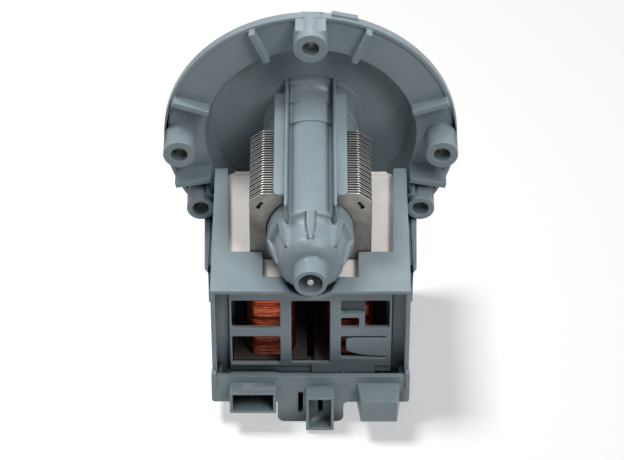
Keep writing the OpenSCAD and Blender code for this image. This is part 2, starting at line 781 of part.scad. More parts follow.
module bearing_carrier() color(grey_plastic) turned([
    [bush_r + press_clear, carrier_back_y], [carrier_hub_r, carrier_back_y],
    [carrier_hub_r, carrier_seat_y], [carrier_ring_r, carrier_seat_y],
    [carrier_ring_r, carrier_back_y], [carrier_r, carrier_back_y], [carrier_r, carrier_groove_y],
    [carrier_groove_r, carrier_groove_y], [carrier_groove_r, carrier_groove_y + carrier_groove_w],
    [carrier_r, carrier_groove_y + carrier_groove_w], [carrier_r, carrier_seat_y + seat_clear / 2],
    [carrier_seat_r - seat_clear, carrier_seat_y + seat_clear / 2],
    [carrier_seat_r - seat_clear, carrier_face_y - carrier_edge],
    [carrier_seat_r - seat_clear - carrier_edge, carrier_face_y], [bush_r + press_clear, carrier_face_y]]);

module carrier_seal() color(black_rubber)
    o_ring(carrier_groove_r + seat_clear / 4 + carrier_seal_d / 2, carrier_seal_d - seat_clear / 4,
           carrier_groove_y + carrier_groove_w / 2);

module front_bush() color(bronze) turned([
    [running_r, collar_end_y], [bush_r + collar_w, collar_end_y], [bush_r + collar_w, collar_y],
    [bush_r, collar_y], [bush_r, carrier_face_y - 2 * seat_clear],
    [running_r, carrier_face_y - 2 * seat_clear]]);

module rear_bush() color(bronze) turned([
    [running_r, rear_bush_y], [bush_r, rear_bush_y], [bush_r, rear_bush_front_y],
    [running_r, rear_bush_front_y]]);

module rear_cushion() color(black_rubber) turned([
    [bush_r + press_clear, pocket_end_y + seat_clear], [cushion_r, pocket_end_y + seat_clear],
    [cushion_r, pocket_y - seat_clear], [bush_r + press_clear, pocket_y - seat_clear]]);

module thrust_pin() color(bright_steel) turned([
    [0, pin_tip_y], [pin_r - pin_edge, pin_tip_y], [pin_r, pin_tip_y + pin_edge], [pin_r, pin_y],
    [0, pin_y]]);

module shaft() color(bright_steel) turned([
    [0, shaft_rear_y], [shaft_r - shaft_edge, shaft_rear_y], [shaft_r, shaft_rear_y + shaft_edge],
    [shaft_r, shaft_front_y - shaft_edge], [shaft_r - shaft_edge, shaft_front_y], [0, shaft_front_y]]);

module rotor_sleeve() color(white_resin) turned([
    [shaft_r + press_clear, sleeve_back_y], [sleeve_hub_r, sleeve_back_y],
    [sleeve_hub_r, magnet_back_y - sleeve_disc_t], [sleeve_disc_r, magnet_back_y - sleeve_disc_t],
    [sleeve_disc_r, magnet_back_y - touch], [magnet_bore_r - press_clear, magnet_back_y - touch],
    [magnet_bore_r - press_clear, magnet_front_y + touch], [sleeve_disc_r, magnet_front_y + touch],
    [sleeve_disc_r, magnet_front_y + sleeve_disc_t], [sleeve_hub_r, magnet_front_y + sleeve_disc_t],
    [sleeve_hub_r, sleeve_front_y], [shaft_r + press_clear, sleeve_front_y]]);

module rotor_magnet() color(magnet_black) turned([
    [magnet_bore_r, magnet_back_y], [magnet_r - magnet_edge, magnet_back_y],
    [magnet_r, magnet_back_y + magnet_edge], [magnet_r, magnet_front_y - magnet_edge],
    [magnet_r - magnet_edge, magnet_front_y], [magnet_bore_r, magnet_front_y]]);

// Wedge about the upward direction, longer than the hub
module wedge(y0, y1) along_y(y0, y1)
    polygon([[0, 0], [2 * hub_r * sin(dog_angle / 2), 2 * hub_r * cos(dog_angle / 2)],
             [-2 * hub_r * sin(dog_angle / 2), 2 * hub_r * cos(dog_angle / 2)]]);

module drive_dog() color(white_resin) difference() {
    union() {
        rod(dog_ring_r, dog_y, dog_end_y);
        intersection() {
            rod(dog_tip_r, dog_y, dog_end_y);
            wedge(dog_y, dog_end_y);
        }
    }
    rod(shaft_r + press_clear, dog_y - cut, dog_end_y + cut);
}

module thrust_washer() color(white_resin) turned([
    [washer_bore_r, washer_y], [washer_r, washer_y], [washer_r, washer_y + washer_t],
    [washer_bore_r, washer_y + washer_t]]);

module impeller() color(white_resin) {
    turned([[running_r, impeller_y], [impeller_d / 2, impeller_y], [impeller_d / 2, impeller_y + disc_t],
            [hub_r, impeller_y + disc_t], [hub_r, hub_end_y], [hub_in_r, hub_end_y],
            [hub_in_r, impeller_y + hub_back_t], [running_r, impeller_y + hub_back_t]]);
    for (i = [0 : vane_count - 1]) at_angle(360 * i / vane_count)
        block(hub_r - hub_wall / 2, impeller_d / 2, impeller_y + disc_t - eps, impeller_y + disc_t + vane_len,
              -vane_t / 2, vane_t / 2);
    // Tooth that the drive dog pushes, opposite to it at rest
    mirror([0, 0, 1]) intersection() {
        difference() {
            rod(hub_r - hub_wall / 2, impeller_y + hub_back_t - eps, dog_end_y);
            rod(tooth_in_r, impeller_y, dog_end_y + cut);
        }
        wedge(impeller_y, dog_end_y + cut);
    }
}

module impeller_cap() color(white_resin) turned(concat(
    [[0, shaft_front_y + cap_shaft_gap], [running_r, shaft_front_y + cap_shaft_gap],
     [running_r, hub_end_y - cap_spigot_len],
     [hub_in_r - press_clear, hub_end_y - cap_spigot_len], [hub_in_r - press_clear, cap_y], [hub_r, cap_y]],
    arc(0, cap_y + cap_rim, hub_r, cap_len - cap_rim, 0, 90, 10)));

// Hook-shaped mark of the punched interlock, in x and z
module interlock() translate([core_half_w - interlock_in, core_top_z - interlock_drop])
    rotate(interlock_turn) translate([-interlock_w / 2, -interlock_len / 2]) {
        square([interlock_w, interlock_len]);
        translate([interlock_w - interlock_foot, 0]) square([interlock_foot, interlock_w]);
    }

module core() color(core_steel) difference() {
    along_y(stack_back_y, stack_front_y) difference() {
        polygon([[pole_gap_half, core_top_z], [core_half_w - core_chamfer_w, core_top_z],
                 [core_half_w, core_top_z - core_chamfer_h], [core_half_w, pole_low_z],
                 [leg_x + leg_w / 2, pole_low_z], [leg_x + leg_w / 2, leg_end_z],
                 [leg_x - leg_w / 2, leg_end_z], [leg_x - leg_w / 2, pole_low_z], [0, pole_low_z],
                 [0, 0], [pole_gap_half, 0]]);
        circle(r = core_bore_r);
    }
    along_y(stack_back_y - cut, stack_back_y + interlock_depth) interlock();
}

module core_left() mirror([1, 0, 0]) core();
module core_right() core();

module core_yoke() color(core_steel)
    block(-leg_x - leg_w / 2, leg_x + leg_w / 2, stack_back_y, stack_front_y, yoke_low_z, yoke_top_z);

// Bobbin flange in x and y, with a rounded far corner
module bobbin_flange(x_out) polygon(concat(
    [[bobbin_gap_half, bobbin_rear_y], [x_out, bobbin_rear_y]],
    arc(x_out - bobbin_corner_r, bobbin_front_y - bobbin_corner_r,
        bobbin_corner_r, bobbin_corner_r, 0, 90, 5),
    [[bobbin_gap_half, bobbin_front_y]]));

module bobbin() color(cream_nylon) difference() {
    union() {
        translate([0, 0, flange_in_z]) linear_extrude(bobbin_flange_t) bobbin_flange(bobbin_outer_x);
        translate([0, 0, low_flange_end_z]) linear_extrude(bobbin_flange_t)
            bobbin_flange(bobbin_outer_x - bobbin_low_cut);
        block(leg_x - coil_in, leg_x + coil_in, stack_back_y - seat_clear - bobbin_wall,
              stack_front_y + seat_clear + bobbin_wall, low_flange_z - eps, flange_in_z + eps);
        // Lip along the far edge of the top flange
        block(leg_x + coil_in, bobbin_outer_x - bobbin_corner_r, bobbin_front_y - lip_w, bobbin_front_y,
              flange_top_z - eps, flange_top_z + lip_h);
    }
    block(leg_x - leg_w / 2 - seat_clear, leg_x + leg_w / 2 + seat_clear, stack_back_y - seat_clear,
          stack_front_y + seat_clear, low_flange_end_z - cut, flange_top_z + cut);
    // Hollow for the can and for the step at its root
    rod(core_bore_r, bobbin_rear_y - cut, can_step_y);
    rod(can_r + can_step + bore_clear, can_step_y - bore_clear, 0);
    // Notches where the wire comes in and goes out
    lead_y = stack_mid_y + turn_half_y - lead_notch / 2;
    block(leg_x - wire_bend_r - lead_notch / 2, leg_x - wire_bend_r + lead_notch / 2, lead_y,
          bobbin_front_y + cut, low_flange_end_z - cut, low_flange_z + cut);
    block(leg_x + wire_bend_r - lead_notch / 2, leg_x + wire_bend_r + lead_notch / 2, lead_y,
          bobbin_front_y + cut, flange_in_z - cut, flange_top_z + lip_h + cut);
}

module bobbin_left() mirror([1, 0, 0]) bobbin();
module bobbin_right() bobbin();

// Inner layers of the winding
module winding() color(copper_enamel) translate([leg_x, stack_mid_y, low_flange_z + seat_clear / 2])
    linear_extrude(winding_h - seat_clear) difference() {
        polygon(rounded_outline(winding_half_x, winding_half_y,
                                winding_corner_r - wire_d / 2 - turn_clear, 5));
        square([2 * (coil_in + seat_clear), stack_len + 2 * (2 * seat_clear + bobbin_wall)], center = true);
    }

module winding_left() mirror([1, 0, 0]) winding();
module winding_right() winding();

// One turn of the winding's middle line: place in x and y, then the outward direction
function corner(sx, sy, a0) = [for (i = [0 : 4]) let (a = a0 - 22.5 * i)
    [[sx * (turn_half_x - winding_corner_r) + winding_corner_r * cos(a),
      sy * (turn_half_y - winding_corner_r) + winding_corner_r * sin(a)], [cos(a), sin(a)]]];
turn_path = concat(
    [[[0, turn_half_y], [0, 1]]], corner(1, 1, 90), [[[turn_half_x, 0], [1, 0]]], corner(1, -1, 0),
    [[[0, -turn_half_y], [0, -1]]], corner(-1, -1, -90), [[[-turn_half_x, 0], [-1, 0]]], corner(-1, 1, 180));
turn_steps = len(turn_path);

// The whole wire: up through the lower flange, round the coil and out through the upper flange
wire_end_z = turn_z0 + turn_pitch * wire_turns;
wire_bends = [0, 30, 60];
wire_points = concat(
    [[-wire_bend_r, turn_half_y, turn_z0 - wire_bend_r - wire_d]],
    [for (a = wire_bends) [-wire_bend_r * cos(a), turn_half_y, turn_z0 - wire_bend_r * (1 - sin(a))]],
    [for (i = [0 : wire_turns * turn_steps]) let (p = turn_path[i % turn_steps][0])
        [p[0], p[1], turn_z0 + turn_pitch * i / turn_steps]],
    [for (i = [2 : -1 : 0]) let (a = wire_bends[i])
        [wire_bend_r * cos(a), turn_half_y, wire_end_z + wire_bend_r * (1 - sin(a))]],
    [[wire_bend_r, turn_half_y, wire_end_z + wire_bend_r + wire_d]]);
wire_out = concat(
    [for (i = [0 : 3]) [0, 1, 0]],
    [for (i = [0 : wire_turns * turn_steps]) let (n = turn_path[i % turn_steps][1]) [n[0], n[1], 0]],
    [for (i = [0 : 3]) [0, 1, 0]]);
wire_count = len(wire_points);
function unit(v) = v / norm(v);
function wire_dir(i) = unit(wire_points[min(i + 1, wire_count - 1)] - wire_points[max(i - 1, 0)]);
wire_sides = 6;
wire_rings = [for (i = [0 : wire_count - 1]) for (k = [0 : wire_sides - 1])
    let (n = wire_out[i], b = cross(wire_dir(i), n), a = 360 * k / wire_sides)
    wire_points[i] + wire_d / 2 * (cos(a) * n + sin(a) * b)];
wire_faces = concat(
    [for (k = [1 : wire_sides - 2]) [0, k, k + 1]],
    [for (i = [0 : wire_count - 2]) for (k = [0 : wire_sides - 1]) for (half = [0, 1])
        let (p = wire_sides * i + k, q = wire_sides * i + (k + 1) % wire_sides, s = wire_sides)
        half == 0 ? [p, p + s, q + s] : [p, q + s, q]],
    [for (k = [1 : wire_sides - 2]) let (e = wire_sides * (wire_count - 1)) [e, e + k + 1, e + k]]);

// Least gap of the wire to itself, on its middle line's points half a turn or more apart
wire_gap = min([for (i = [0 : wire_count - 1 - turn_steps / 2])
    min([for (j = [i + turn_steps / 2 : wire_count - 1]) norm(wire_points[i] - wire_points[j])])]) - wire_d;
echo(least_gap_of_the_coil_wire_mm = wire_gap);

module coil_turns() color(copper_enamel) translate([leg_x, stack_mid_y, 0])
    polyhedron(points = wire_rings, faces = wire_faces, convexity = 20);

module coil_turns_left() mirror([1, 0, 0]) coil_turns();
module coil_turns_right() coil_turns();

module terminal(x) color(bright_steel) {
    block(x - terminal_t / 2, x + terminal_t / 2, terminal_rear_y, chamber_end_out_y,
          terminal_z - terminal_w / 2, terminal_z + terminal_w / 2);
    block(x - terminal_t / 2, x + terminal_t / 2, chamber_end_out_y - eps, terminal_front_y,
          tail_z, tail_z + tail_h);
}

module terminal_left() terminal(-terminal_x);
module terminal_right() terminal(terminal_x);

// Cone of the saddle, grown by a wall
module saddle(wall) turned([[0, cover_rear_y - eps], [saddle_r + wall, cover_rear_y - eps],
                            [saddle_front_r + wall, notch_rear_y + eps], [0, notch_rear_y + eps]]);

module coil_cover() color(grey_plastic) difference() {
    union() {
        difference() {
            block(-cover_half, cover_half, cover_rear_y, cover_front_y, cover_low_z, deck_z);
            block(-cover_in, cover_in, cover_rear_y - cut, cover_front_y + cut, cover_floor_z, deck_under_z);
        }
        // Channel floors beside the window plate
        both_sides() block(plate_half_w + seat_clear, cover_in + eps, channel_floor_y, channel_front_y,
                           ledge_z + seat_clear, deck_under_z + eps);
        // Saddle under the nose
        intersection() {
            saddle(cover_wall);
            block(-cover_half, cover_half, cover_rear_y, notch_rear_y,
                  -saddle_front_r - cover_wall - cut, deck_under_z + eps);
        }
        // Catches that snap into the side arms
        both_sides() block(cover_half - eps, arm_in + catch_proud, catch_y, catch_y + catch_len,
                           catch_z, catch_z + catch_h);
    }
    saddle(0);
    // Opening of the deck, wider towards the flange
    translate([0, 0, deck_under_z - cut]) linear_extrude(cover_wall + 2 * cut) polygon([
        [-deck_half_rear, deck_rear_y], [-deck_half_front, cover_front_y + cut],
        [deck_half_front, cover_front_y + cut], [deck_half_rear, deck_rear_y]]);
    block(-notch_half, notch_half, notch_rear_y, deck_rear_y + cut, deck_under_z - cut, deck_z + cut);
    // Room for the terminal chamber below the floor
    block(-conn_mid_half - chamber_clear, conn_mid_half + chamber_clear, cover_rear_y - cut,
          chamber_end_out_y + chamber_clear, cover_low_z - cut, cover_floor_z + cut);
}

// Rectangle in x and z from its corners
module pane(x0, x1, z0, z1) translate([x0, z0]) square([x1 - x0, z1 - z0]);

// Tongue outline in x and z, from its root at the right
module tongue() polygon(concat(
    [[tongue_root_x + cut, window_mid_lo_z - tongue_slot],
     [tongue_tip_x + tongue_tip_w, window_mid_lo_z - tongue_slot],
     [tongue_tip_x, window_mid_lo_z - tongue_slot - tongue_tip_h]],
    arc(tongue_root_x + cut, tongue_low_z + tongue_slot + tongue_curve_h, tongue_root_x + cut - tongue_tip_x,
        tongue_curve_h, 180, 270, 8)));

module window_plate() color(grey_plastic) {
    along_y(plate_back_face_y, plate_front_face_y) difference() {
        pane(-plate_half_w, plate_half_w, plate_low_z, plate_top_z);
        circle(r = saddle_front_r + cover_wall + seat_clear);
        pane(-window_edge_x, -window_in_x, window_mid_hi_z, window_top_z);
        pane(-window_edge_x, -window_in_x, window_low_z, window_mid_lo_z);
        pane(-mid_window_half, mid_window_half, window_low_z, window_top_z);
        difference() {
            pane(window_in_x, window_edge_x, window_mid_hi_z, window_top_z);
            pane(window_in_x - cut, bar_x + bar_t, bar_z - bar_t, bar_z);
            pane(bar_x, bar_x + bar_t, window_mid_hi_z - cut, bar_z);
        }
        difference() {
            pane(window_in_x, tongue_root_x, tongue_low_z, window_mid_lo_z);
            tongue();
        }
    }
    // Side walls that slide between the cover's channel floors
    both_sides() block(plate_half_w - plate_border, plate_half_w, plate_front_face_y - eps,
                       channel_front_y, plate_low_z, plate_top_z);
    // Foot that is set back below the lower edge, and the tab in front of it
    block(-plate_half_w, plate_half_w, plate_front_face_y - foot_t, plate_front_face_y,
          plate_low_z - foot_h, plate_low_z + eps);
    block(tab_x0, tab_x1, plate_back_face_y, plate_front_face_y, plate_low_z - tab_h, plate_low_z + eps);
    // Set-back panel that closes the corner above the bar
    block(window_in_x - panel_lap, bar_x + bar_t, plate_front_face_y - eps, plate_front_face_y + panel_t,
          bar_z - bar_t / 2, window_top_z + panel_lap);
}

// Connector plate in x and z
module connector_outline() difference() {
    union() {
        pane(-conn_half, conn_half, conn_side_z + conn_round, conn_top_z - conn_round);
        pane(conn_round - conn_half, conn_half - conn_round, conn_side_z, conn_top_z);
        for (x = [conn_round - conn_half, conn_half - conn_round])
            for (z = [conn_side_z + conn_round, conn_top_z - conn_round])
                translate([x, z]) circle(r = conn_round);
        pane(conn_mid_half - cut, conn_mid_half + fillet_r, conn_side_z - fillet_r, conn_side_z + cut);
        polygon(concat([[conn_mid_half, conn_top_z - cut], [-conn_mid_half, conn_top_z - cut]],
                       arc(conn_corner_r - conn_mid_half, conn_low_z + conn_corner_r, conn_corner_r,
                           conn_corner_r, 180, 270, 5),
                       arc(conn_mid_half - conn_corner_r, conn_low_z + conn_corner_r, conn_corner_r,
                           conn_corner_r, 270, 360, 5)));
    }
    translate([conn_mid_half + fillet_r, conn_side_z - fillet_r]) circle(r = fillet_r);
}

// Block about x, hanging from its top edge
module hung(x, w, y0, y1, top_z, h) block(x - w / 2, x + w / 2, y0, y1, top_z - h, top_z);

module connector_housing() color(grey_plastic) difference() {
    union() {
        along_y(conn_rear_y, conn_front_y) connector_outline();
        // Ledge below the window plate's foot
        block(seat_clear - cover_in, cover_in - seat_clear, conn_front_y - eps,
              plate_back_face_y - seat_clear, ledge_z - ledge_t, ledge_z);
        // Left socket, which reaches in above the cover's floor
        hung(left_socket_x, left_socket_w, conn_rear_y - left_socket_out, conn_front_y, socket_top_z,
             left_socket_h);
        block(left_socket_x - left_socket_w / 2, left_socket_x + left_socket_w / 2, conn_front_y - eps,
              left_socket_back_y, cover_floor_z + seat_clear, socket_top_z);
        // Centre socket
        hung(mid_socket_x, mid_socket_w, conn_rear_y - mid_socket_out, conn_front_y, mid_socket_top_z,
             mid_socket_h);
        // Solid block, narrower to the rear
        translate([0, 0, block_top_z - block_h]) linear_extrude(block_h) polygon([
            [block_x - block_w / 2, conn_rear_y + eps], [block_x + block_w / 2, conn_rear_y + eps],
            [block_x + block_w / 2 - block_taper, conn_rear_y - block_out],
            [block_x - block_w / 2 + block_taper, conn_rear_y - block_out]]);
        // Terminal chamber
        block(-conn_mid_half, conn_mid_half, conn_front_y - eps, chamber_end_out_y, conn_low_z,
              chamber_top_z);
        // Side prongs that grip the cover's walls
        both_sides() block(cover_in - seat_clear - prong_t, cover_in - seat_clear, conn_front_y - eps,
                           conn_front_y + prong_len, conn_side_z + prong_rise, conn_top_z - prong_drop);
    }
    hung(left_socket_x, left_socket_w - 2 * socket_wall, conn_rear_y - left_socket_out - cut,
         left_socket_back_y - left_socket_back_wall, socket_top_z - socket_wall,
         left_socket_h - 2 * socket_wall);
    hung(mid_socket_x, mid_socket_w - 2 * socket_wall, conn_rear_y - mid_socket_out - cut, conn_rear_y,
         mid_socket_top_z - socket_wall, mid_socket_h - 2 * socket_wall);
    block(chamber_wall - conn_mid_half, conn_mid_half - chamber_wall, conn_front_y, chamber_y,
          conn_low_z + chamber_wall, chamber_top_z - chamber_wall);
    for (x = [-terminal_x, terminal_x]) {
        block(x - slot_w / 2, x + slot_w / 2, conn_rear_y - cut, conn_front_y + cut,
              terminal_z - slot_h / 2, terminal_z + slot_h / 2);
        block(x - terminal_t / 2 - terminal_clear, x + terminal_t / 2 + terminal_clear, chamber_y - cut,
              chamber_end_out_y + cut, terminal_z - terminal_w / 2 - terminal_clear,
              terminal_z + terminal_w / 2 + terminal_clear);
    }
}

rotor_housing();
flange_seal();
bearing_carrier();
carrier_seal();
front_bush();
rear_bush();
rear_cushion();
thrust_pin();
shaft();
rotor_sleeve();
rotor_magnet();
drive_dog();
thrust_washer();
impeller();
impeller_cap();
core_left();
core_right();
core_yoke();
bobbin_left();
bobbin_right();
winding_left();
winding_right();
coil_turns_left();
coil_turns_right();
terminal_left();
terminal_right();
coil_cover();
window_plate();
connector_housing();
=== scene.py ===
import math
import random

import bmesh
import bpy
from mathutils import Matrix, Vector, noise


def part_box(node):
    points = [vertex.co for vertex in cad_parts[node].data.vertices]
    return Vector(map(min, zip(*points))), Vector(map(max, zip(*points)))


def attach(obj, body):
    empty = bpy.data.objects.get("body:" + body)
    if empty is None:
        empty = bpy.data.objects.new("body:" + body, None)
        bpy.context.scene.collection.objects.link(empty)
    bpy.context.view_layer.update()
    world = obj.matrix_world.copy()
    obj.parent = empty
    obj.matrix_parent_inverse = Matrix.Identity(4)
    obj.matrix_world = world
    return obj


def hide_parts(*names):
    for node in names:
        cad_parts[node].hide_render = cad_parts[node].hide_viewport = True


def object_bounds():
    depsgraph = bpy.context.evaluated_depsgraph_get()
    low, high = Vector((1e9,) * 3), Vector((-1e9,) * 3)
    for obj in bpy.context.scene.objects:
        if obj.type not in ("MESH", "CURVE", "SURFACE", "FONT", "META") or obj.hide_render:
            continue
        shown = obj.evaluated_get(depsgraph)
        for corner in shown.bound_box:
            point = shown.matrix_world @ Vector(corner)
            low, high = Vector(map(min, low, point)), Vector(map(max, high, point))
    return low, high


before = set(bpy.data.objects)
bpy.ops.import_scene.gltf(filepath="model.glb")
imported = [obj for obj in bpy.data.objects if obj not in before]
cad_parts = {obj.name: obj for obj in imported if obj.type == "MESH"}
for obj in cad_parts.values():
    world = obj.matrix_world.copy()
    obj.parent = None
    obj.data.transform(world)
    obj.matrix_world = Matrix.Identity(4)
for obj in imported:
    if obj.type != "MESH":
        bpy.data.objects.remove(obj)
cad_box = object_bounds()

# Rotor housing: one moulding that carries everything else. It is the round flange with its screw
# bosses and ribs, the dished centre, the can that the rotor turns in, two fins, the ribbed nose and
# the side arms. Glass-filled polypropylene, injection moulded, satin grey with softly rounded edges.
MM = 0.001
MERGE_DISTANCE = 0.000004
FLAT_ANGLE = math.radians(0.6)
SHARP_ANGLE = math.radians(25)
SHADING_ANGLE = math.radians(50)
HOUSING_EDGE = 0.35 * MM
HOUSING_GREY = "#93A1A8"
# The lighter edge colour: partly handling wear, partly painted highlight.
HOUSING_WEAR_HIGHLIGHT = "#C2CDD3"
HOUSING_DEEP = "#86959C"
# The colour of the painted shade in the housing's corners and hollows.
HOUSING_CORNER_SHADE = "#14222A"
HOUSING_ROUGHNESS = 0.31
HOUSING_SHEEN = 0.4


def tone(code):
    """The linear colour of an sRGB hex code."""
    parts = [int(code[i:i + 2], 16) / 255 for i in (1, 3, 5)]
    return [c / 12.92 if c <= 0.04045 else ((c + 0.055) / 1.055) ** 2.4 for c in parts] + [1.0]


def add_node(tree, kind, settings=None, links=None):
    """Adds a shader node with its settings and the links to its inputs."""
    node = tree.nodes.new("ShaderNode" + kind)
    for name, value in (settings or {}).items():
        if isinstance(name, int) or name in node.inputs:
            node.inputs[name].default_value = value
        else:
            setattr(node, name, value)
    for name, source in (links or {}).items():
        tree.links.new(source, node.inputs[name])
    return node


def new_material(name, **sockets):
    """A material with one Principled shader, whose constant sockets are set by name."""
    material = bpy.data.materials.new(name)
    material.use_nodes = True
    shader = material.node_tree.nodes["Principled BSDF"]
    for socket, value in sockets.items():
        shader.inputs[socket.replace("_", " ")].default_value = value
    return material, material.node_tree, shader


def moulded_plastic(name, plain, wear_highlight_colour, deep, corner, roughness, sheen=0.28, round_mm=0.35, reach_mm=6.0,
                    grain_mm=0.22, grain=0.05):
    """Injection-moulded plastic. The eye gets a satin skin with the fine grain of a spark-eroded mould,
    faint flow marks, and edges that are rounded and a little lighter, partly as handling wear and partly
    as a painted highlight. Corners and hollows are darker: painted shade."""
    material, tree, shader = new_material(name, Roughness=roughness, IOR=1.5, Specular_IOR_Level=sheen)
    spot = add_node(tree, "TexCoord").outputs["Object"]
    flow = add_node(tree, "TexNoise", {"Scale": 1 / (22 * MM), "Detail": 4.0, "Roughness": 0.6},
                    {"Vector": spot})
    shade = add_node(tree, "MapRange", {"From Min": 0.35, "From Max": 0.7}, {"Value": flow.outputs["Fac"]})
    body = add_node(tree, "Mix", {"data_type": "RGBA", 6: tone(plain), 7: tone(deep)},
                    {0: shade.outputs["Result"]})
    # Partly handling wear, partly painted highlight: near an edge the colour is mixed lighter.
    soft = add_node(tree, "Bevel", {"samples": 6, "Radius": round_mm * MM})
    facing = add_node(tree, "NewGeometry")
    bend = add_node(tree, "VectorMath", {"operation": "DOT_PRODUCT"},
                    {0: soft.outputs["Normal"], 1: facing.outputs["Normal"]})
    edge = add_node(tree, "MapRange", {"From Min": 0.995, "From Max": 0.8, "To Max": 0.9},
                    {"Value": bend.outputs["Value"]})
    wear_highlight_mix = add_node(tree, "Mix", {"data_type": "RGBA", 7: tone(wear_highlight_colour)},
                    {0: edge.outputs["Result"], 6: body.outputs[2]})
    # Painted shade: where other surfaces are near, the colour is mixed towards the corner colour.
    room = add_node(tree, "AmbientOcclusion", {"samples": 8, "Distance": reach_mm * MM})
    painted_shade_mask = add_node(tree, "MapRange", {"From Min": 0.55, "From Max": 0.28, "To Max": 0.9},
                      {"Value": room.outputs["AO"]})
    corner_shade_mix = add_node(tree, "Mix", {"data_type": "RGBA", 7: tone(corner)},
                     {0: painted_shade_mask.outputs["Result"], 6: wear_highlight_mix.outputs[2]})
    tree.links.new(corner_shade_mix.outputs[2], shader.inputs["Base Color"])
    patchy = add_node(tree, "MapRange", {"From Min": 0.3, "From Max": 0.7, "To Min": roughness - 0.05,
                                         "To Max": roughness + 0.06}, {"Value": flow.outputs["Fac"]})
    tree.links.new(patchy.outputs["Result"], shader.inputs["Roughness"])
    skin = add_node(tree, "TexNoise", {"Scale": 1 / (grain_mm * MM), "Detail": 2.0}, {"Vector": spot})
    bump = add_node(tree, "Bump", {"Strength": grain, "Distance": 0.1 * MM},
                    {"Height": skin.outputs["Fac"], "Normal": soft.outputs["Normal"]})
    tree.links.new(bump.outputs["Normal"], shader.inputs["Normal"])
    return material


def merged_copy(node):
    """A CAD node's shape as one closed mesh with its flat faces whole again."""
    shape = bmesh.new()
    shape.from_mesh(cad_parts[node].data)
    bmesh.ops.remove_doubles(shape, verts=shape.verts, dist=MERGE_DISTANCE)
    bmesh.ops.dissolve_limit(shape, angle_limit=FLAT_ANGLE, use_dissolve_boundaries=False,
                             verts=shape.verts, edges=shape.edges)
    return shape


def round_edges(shape, width):
    """Rounds each outer edge that has room for it at both of its ends."""
    sharp = set(e for e in shape.edges if len(e.link_faces) == 2 and e.is_convex
                and e.calc_face_angle(0) > SHARP_ANGLE)
    roomy = [e for e in shape.edges if e in sharp
             and all(f in sharp or f.calc_length() > 1.6 * width for v in e.verts for f in v.link_edges)]
    bmesh.ops.bevel(shape, geom=roomy, offset=width, offset_type="OFFSET", affect="EDGES", segments=2,
                    profile=0.5, material=-1, clamp_overlap=False)


def make_piece(shape, name, material, body, nodes=(), smooth=True):
    """Turns a bmesh into a piece that rides on a body and stands for its CAD nodes."""
    mesh = bpy.data.meshes.new(name)
    shape.to_mesh(mesh)
    shape.free()
    mesh.materials.append(material)
    piece = bpy.data.objects.new(name, mesh)
    bpy.context.scene.collection.objects.link(piece)
    if smooth:
        mesh.shade_smooth()
        mesh.set_sharp_from_angle(angle=SHADING_ANGLE)
        even = piece.modifiers.new("even shading", "WEIGHTED_NORMAL")
        even.keep_sharp = True
    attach(piece, body)
    if nodes:
        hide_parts(*nodes)
    return piece


housing_grey = moulded_plastic("grey_polypropylene", HOUSING_GREY, HOUSING_WEAR_HIGHLIGHT, HOUSING_DEEP,
                               HOUSING_CORNER_SHADE, HOUSING_ROUGHNESS, HOUSING_SHEEN)
housing_shape = merged_copy("rotor_housing")
round_edges(housing_shape, HOUSING_EDGE)
make_piece(housing_shape, "housing_moulding", housing_grey, "housing", ["rotor_housing"])

# Flange seal, carrier seal and the rear bush's cushion: rubber rings, moulded in two halves, which leaves
# a fine flash line. They sit in the groove of the sealing spigot, round the bearing carrier in the can
# and round the rear bush in the nose.
RING_STEPS = 96
ROUND_STEPS = 20
FLASH = 1.012


def nitrile_rubber(name):
    """Nitrile rubber as it leaves the mould: near black, dull, with a faint bloom of dust."""
    material, tree, shader = new_material(name, Roughness=0.62, IOR=1.52)
    spot = add_node(tree, "TexCoord").outputs["Object"]
    bloom = add_node(tree, "TexNoise", {"Scale": 1 / (3 * MM), "Detail": 5.0}, {"Vector": spot})
    shade = add_node(tree, "MapRange", {"From Min": 0.4, "From Max": 0.75}, {"Value": bloom.outputs["Fac"]})
    colour = add_node(tree, "Mix", {"data_type": "RGBA", 6: tone("#1C1C1E"), 7: tone("#303032")},
                      {0: shade.outputs["Result"]})
    tree.links.new(colour.outputs[2], shader.inputs["Base Color"])
    skin = add_node(tree, "TexNoise", {"Scale": 1 / (0.15 * MM), "Detail": 2.0}, {"Vector": spot})
    bump = add_node(tree, "Bump", {"Strength": 0.12, "Distance": 0.05 * MM},
                    {"Height": skin.outputs["Fac"]})
    tree.links.new(bump.outputs["Normal"], shader.inputs["Normal"])
    return material


def spun_ring(middle_r, middle_y, half_wide, half_long):
    """A ring round the Y axis with an oval section and a flash line outside."""
    shape = bmesh.new()
    made = bmesh.ops.create_circle(shape, segments=ROUND_STEPS, radius=1.0)
    for v in made["verts"]:
        across, along = v.co.x, v.co.y
        flash = FLASH if along == 0 and across > 0 else 1.0
        v.co = Vector((middle_r + across * flash * half_wide, middle_y + along * half_long, 0))
    bmesh.ops.spin(shape, geom=shape.edges[:] + shape.verts[:], cent=(0, 0, 0), axis=(0, 1, 0),
                   angle=math.tau, steps=RING_STEPS, use_merge=True)
    bmesh.ops.remove_doubles(shape, verts=shape.verts, dist=MERGE_DISTANCE)
    bmesh.ops.recalc_face_normals(shape, faces=shape.faces)
    return shape


seal_rubber = nitrile_rubber("nitrile_rubber")
for seal in ("flange_seal", "carrier_seal", "rear_cushion"):
    low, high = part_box(seal)
    inner_r = min(math.hypot(v.co.x, v.co.z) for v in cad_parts[seal].data.vertices)
    ring = spun_ring((high.x + inner_r) / 2, (low.y + high.y) / 2,
                     (high.x - inner_r) / 2, (high.y - low.y) / 2)
    make_piece(ring, seal + "_ring", seal_rubber, "housing", [seal])

# Bearings, shaft and magnet: sintered bronze bushes soaked in oil, a ground steel shaft and thrust pin, a
# ferrite magnet and the moulded bearing carrier. They are pressed in or closed in, so at most their ends
# show. The CAD shapes stay, with their finishes.


